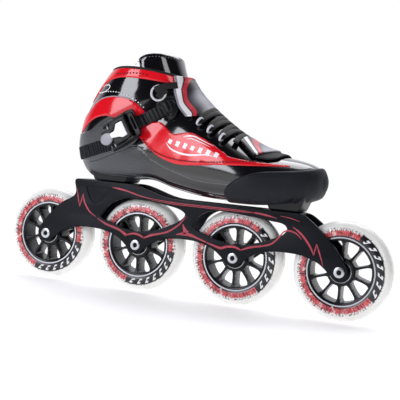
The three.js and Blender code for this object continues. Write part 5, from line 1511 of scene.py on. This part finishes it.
worn(lasted("toe_webbing", area(TOE_BASE), ((0.05, 0.5), OVER_INSTEP), (90, 100),
            rounded(1.9, 3.1, 0.8),
            eased(0.8), wall=1.4), "toe_strap_base", woven_webbing, "black_webbing")
TOE_STRAP = [(191.5, 51), (210.5, 37.2), (235.5, 48), (252, 75), (186, 80)]
# The bands up to 5.9 mm are printed stripes. Past them the silver field runs from dark to light
# away from the strap's end: the silver is real, and the grading is a painted reflection of the
# bright room.
toe_label = striped_label("toe_strap_label", "from_end", [
    (0.0, "#0e0d12"), (2.0, "#0e0d12"), (2.2, "#f0eef4"), (3.3, "#f0eef4"), (3.5, "#121117"),
    (4.2, "#121117"), (4.4, "#c9303f"), (5.9, "#c9303f"), (6.2, "#4a4955"), (7.6, "#8b8a97"),
    (12.0, "#aeadba"), (30.0, "#d4d4de")], 30.0)
worn(lasted("toe_strap_label", area(TOE_STRAP), ((0.05, 0.6), OVER_INSTEP), (90, 110),
            rounded(3.8, 5.0, 1.0),
            eased(1.0), wall=1.8, marks={"from_end": edge_distance([(184, 56.4), (191.5, 51),
                                                                    (210.5, 37.2), (219, 31)])}),
     "toe_strap", toe_label, "silver_cloth")

# The steel ring that the webbing hangs from, and the two short lengths that hold it.
ring_bm = bmesh.new()
circle = np.linspace(0, 2 * np.pi, 40, endpoint=False)
ring_points = [on_side(127.0 + 6.6 * math.cos(a), 210.8 + 7.6 * math.sin(a), -1, 3.4)
               for a in circle]
swept(ring_bm, [p[0] / MM for p in ring_points], [p[1] for p in ring_points], 1.2, 1.1, sides=10,
      closed=True)
worn(shown("steel_strap_ring", mesh_of(ring_bm), 80), None, bright_wire, "loop_metal")
keeper = bmesh.new()
for line in ([(134.0, 214.5), (129.5, 211.0), (127.4, 206.0)],
             [(123.5, 213.5), (131.5, 217.5), (142, 219.5)]):
    places = [on_side(x, z, -1, 4.4) for x, z in smooth_line(line, 24)]
    swept(keeper, [p[0] / MM for p in places], [p[1] for p in places], 3.4, 0.8, sides=12,
          square=4.0)
worn(shown("ring_keeper_straps", mesh_of(keeper), 50), None, woven_webbing, "black_webbing")


# ---------------------------------------------------------------- lace and its loops
# A flat woven lace runs back and forth over the tongue and turns through a steel loop at each
# edge of the throat. Places are the last's own t and turn: where the first row starts, the step
# from row to row, the reach to each side, the turn beyond it, and how far each row slants. The
# curve through them is drawn in millimetres, over a skin unrolled to about this size.

LACE_START, LACE_PITCH, LACE_TURN, LACE_BULGE, LACE_SLANT = 0.2985, 0.0180, 0.116, 0.016, 0.005
LAST_LENGTH, LAST_GIRTH = 400, 270
lace_path, loop_places = [], []
for row in range(7):
    side = -1 if row % 2 else 1
    t = LACE_START + row * LACE_PITCH
    lace_path += [((t + share * LACE_SLANT) * LAST_LENGTH,
                   (0.5 + side * share * LACE_TURN) * LAST_GIRTH,
                   4.7 if abs(share) > 0.6 else 3.6) for share in (-1, -0.5, 0, 0.5, 1)]
    if row < 6:
        place = (t + LACE_PITCH / 2, 0.5 + side * (LACE_TURN + LACE_BULGE))
        lace_path.append((place[0] * LAST_LENGTH, place[1] * LAST_GIRTH, 4.7))
        loop_places.append((*place, side, row // 2 + 1))
run = smooth_line(lace_path, 300)
lace_bm = bmesh.new()
t, turn, height = run[:, 0] / LAST_LENGTH, run[:, 1] / LAST_GIRTH, run[:, 2]
centre = skin(t, turn, height)
swept(lace_bm, centre, skin(t, turn, height + 1) - centre, 3.1, 1.15, sides=12, square=3.0)
worn(shown("flat_lace", mesh_of(lace_bm), 60), "lace", woven_lace, "lace_cord")
for t, turn, side, number in loop_places:
    t, turn = np.array([t]), np.array([turn])
    middle = skin(t, turn, 4.7)[0]
    ahead = (skin(t + 0.004, turn, 4.7) - skin(t - 0.004, turn, 4.7))[0]
    out = (skin(t, turn, 5.7) - skin(t, turn, 4.7))[0]
    ahead /= np.linalg.norm(ahead)
    across = np.cross(ahead, out)
    wire = [middle + 4.1 * (math.cos(a) * across + math.sin(a) * out) for a in circle]
    loop_bm = bmesh.new()
    swept(loop_bm, wire, [ahead] * len(circle), 0.75, 1.35, sides=8, closed=True)
    name = f"lace_loop_{'medial' if side > 0 else 'lateral'}_{number}"
    worn(shown(f"smooth_{name}", mesh_of(loop_bm), 80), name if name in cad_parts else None,
         bright_wire, "loop_metal")


# ---------------------------------------------------------------- buckle
# A ratchet buckle on the outer side of the cuff: a hollow black frame, a silver lever with a grey
# thumb tab that hinges on a steel pin, and a sprung pawl on the toothed strap.

BUCKLE_TURN = math.radians(33)
BUCKLE_PLACE = (94.0, -40.878, 168.0)


def onto_buckle(bm, on_edge=False):
    """Drawn with x along the strap and z across it (or y across and z outwards, on_edge)."""
    if on_edge:
        bmesh.ops.rotate(bm, verts=bm.verts, cent=(0, 0, 0),
                         matrix=Matrix.Rotation(math.pi / 2, 3, "X"))
    bmesh.ops.rotate(bm, verts=bm.verts, cent=(0, 0, 0),
                     matrix=Matrix.Rotation(-BUCKLE_TURN, 3, "Y"))
    bmesh.ops.translate(bm, verts=bm.verts, vec=Vector(BUCKLE_PLACE) * MM)
    return bm


def buckle_part(name, parts, body, node, material):
    piece = shown(name, joined(parts), 40)
    piece.data.materials.append(material)
    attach(piece, body)
    if node:
        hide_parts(node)


def rounded_outline(corners, radius):
    """A closed [x, z] outline with its corners rounded off, each in four short steps."""
    corners = [np.array(corner, float) for corner in corners]
    points = []
    for before, corner, after in zip(corners[-1:] + corners[:-1], corners,
                                     corners[1:] + corners[:1]):
        a = corner + (before - corner) / np.linalg.norm(before - corner) * radius
        b = corner + (after - corner) / np.linalg.norm(after - corner) * radius
        points += [tuple((1 - s) ** 2 * a + 2 * s * (1 - s) * corner + s * s * b)
                   for s in np.linspace(0, 1, 5)]
    return points


cheek = rounded_outline([(-17, -1.6), (17, -1.6), (17, 5), (13, 8.5), (6, 8.5), (0, 6.2),
                         (-14, 5.6), (-17, 3.5)], 1.2)
base_plan = rounded_outline([(-17, -12), (-13, -14.5), (17, -14.5), (20.5, -10), (20.5, 9),
                             (17, 14.5), (-4, 14.5), (-9, 11), (-17, 10)], 2.0)
upper_arm = rounded_outline([(-6, 9.5), (1, 12), (17, 11.5), (21.5, 10.5), (22.5, 6.5), (24.5, 7.5),
                             (23.5, 13.5), (17, 15.2), (0, 15.2), (-7, 12.5)], 1.0)
buckle_part("hollow_buckle_frame", [
    onto_buckle(flat_plate([base_plan], -0.1, 1.6, 0.5)),
    onto_buckle(flat_plate([cheek], -14.5, -12.1, 0.5), on_edge=True),
    onto_buckle(flat_plate([cheek], 12.1, 14.5, 0.5), on_edge=True),
    onto_buckle(flat_plate([upper_arm], -6.4, -3.4, 0.8)),
    onto_buckle(flat_plate([rounded_outline([(15.6, -14.5), (21.5, -13), (21.5, 11), (15.6, 12)],
                                            1.5),
                            rounded_outline([(17.6, -6.9), (19.4, -6.9), (19.4, 6.9), (17.6, 6.9)],
                                            0.6)],
                           -6.8, -3.6, 0.7))],
    "chassis", "buckle_base", moulded_black)
lever_rails = rounded_outline([(-9, -11.9), (9.5, -11.9), (11.6, -9), (11.6, 9), (9.5, 11.9),
                               (-5, 11.9), (-9, 8)], 1.6)
lever_window = rounded_outline([(8.4, -8.6), (1.4, -9.0), (-2.0, -6.4), (-6.6, -4.4), (-6.8, 3.4),
                                (-3.4, 4.0), (0.6, 8.6), (8.4, 8.4)], 1.2)
buckle_part("lever_rails", [
    onto_buckle(flat_plate([lever_rails, lever_window], -9.2, -6.4, 0.6)),
    onto_buckle(block(7.5, 12.6, -11.9, 11.9, 3.2, 8.4, 1.6), on_edge=True)],
    "lever", "buckle_lever", moulded_black)
lever_face = rounded_outline([(8.4, -8.0), (2.0, -8.2), (-1.4, -5.6), (-9.6, -3.0), (-9.8, 2.0),
                              (-3.4, 2.2), (1.0, 7.9), (8.4, 7.6)], 1.2)
buckle_part("silver_lever_face", [onto_buckle(flat_plate([lever_face], -9.9, -6.9, 0.6))],
            "lever", None, silver_plate)
tab_outline = [(-15.4 + 7.0 * math.cos(a), -1.0 + 6.2 * math.sin(a))
               for a in np.linspace(0, 2 * math.pi, 36)[:-1]]
buckle_part("oval_thumb_tab", [onto_buckle(flat_plate([tab_outline], -9.6, -6.8, 1.0))],
            "lever", None, grey_tab)
pawl_side = rounded_outline([(-6.5, 2.3), (-6.5, 3.2), (-9, 5.4), (-13, 5.4), (-20, 5), (-20, 3.6),
                             (-13, 1.8), (-9, 1.8)], 0.5)
buckle_part("sprung_pawl", [onto_buckle(flat_plate([pawl_side], -8.5, 8.5, 0.3), on_edge=True)],
            "pawl", "buckle_pawl", moulded_black)
for node in ("buckle_pin", "buckle_pawl_pin"):
    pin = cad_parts[node]
    pin.data.materials.clear()
    pin.data.materials.append(bolt_steel)

ladder_u = np.linspace(-4, 59, 260)
ladder_x = BUCKLE_PLACE[0] + ladder_u * math.cos(BUCKLE_TURN)
ladder_z = BUCKLE_PLACE[2] + ladder_u * math.sin(BUCKLE_TURN)
lift = 2.0 + 2.6 * np.clip((ladder_u - 48) / 4, 0, 1)
ladder_y = np.array([on_side(x, z, -1, height)[0].y / MM
                     for x, z, height in zip(ladder_x, ladder_z, lift)])
ladder_y = np.where(ladder_u < 18.5, BUCKLE_PLACE[1] - 1.1, ladder_y)
blend_in = np.clip((ladder_u - 18.5) / 8, 0, 1)
ladder_y = (1 - blend_in) * np.minimum(ladder_y, BUCKLE_PLACE[1] - 1.1) + blend_in * ladder_y
ladder_y = np.convolve(np.pad(ladder_y, 8, mode="edge"), np.ones(17) / 17, "valid")
ladder_points = np.stack([ladder_x, ladder_y, ladder_z], 1)
run = np.concatenate([[0], np.cumsum(np.linalg.norm(np.diff(ladder_points, axis=0), axis=1))])
tooth = np.clip(2.2 * np.sin(run * 2 * np.pi / 4.2), -1, 1) * np.clip((ladder_u - 20) / 2, 0, 1)
ladder_bm = bmesh.new()
swept(ladder_bm, ladder_points, [(0, -1, 0)] * len(run), 6.5, 1.05 + 0.5 * tooth, sides=16,
      square=6.0)
worn(shown("toothed_strap", mesh_of(ladder_bm), 50), "ladder_strap", moulded_black, "black_plastic")
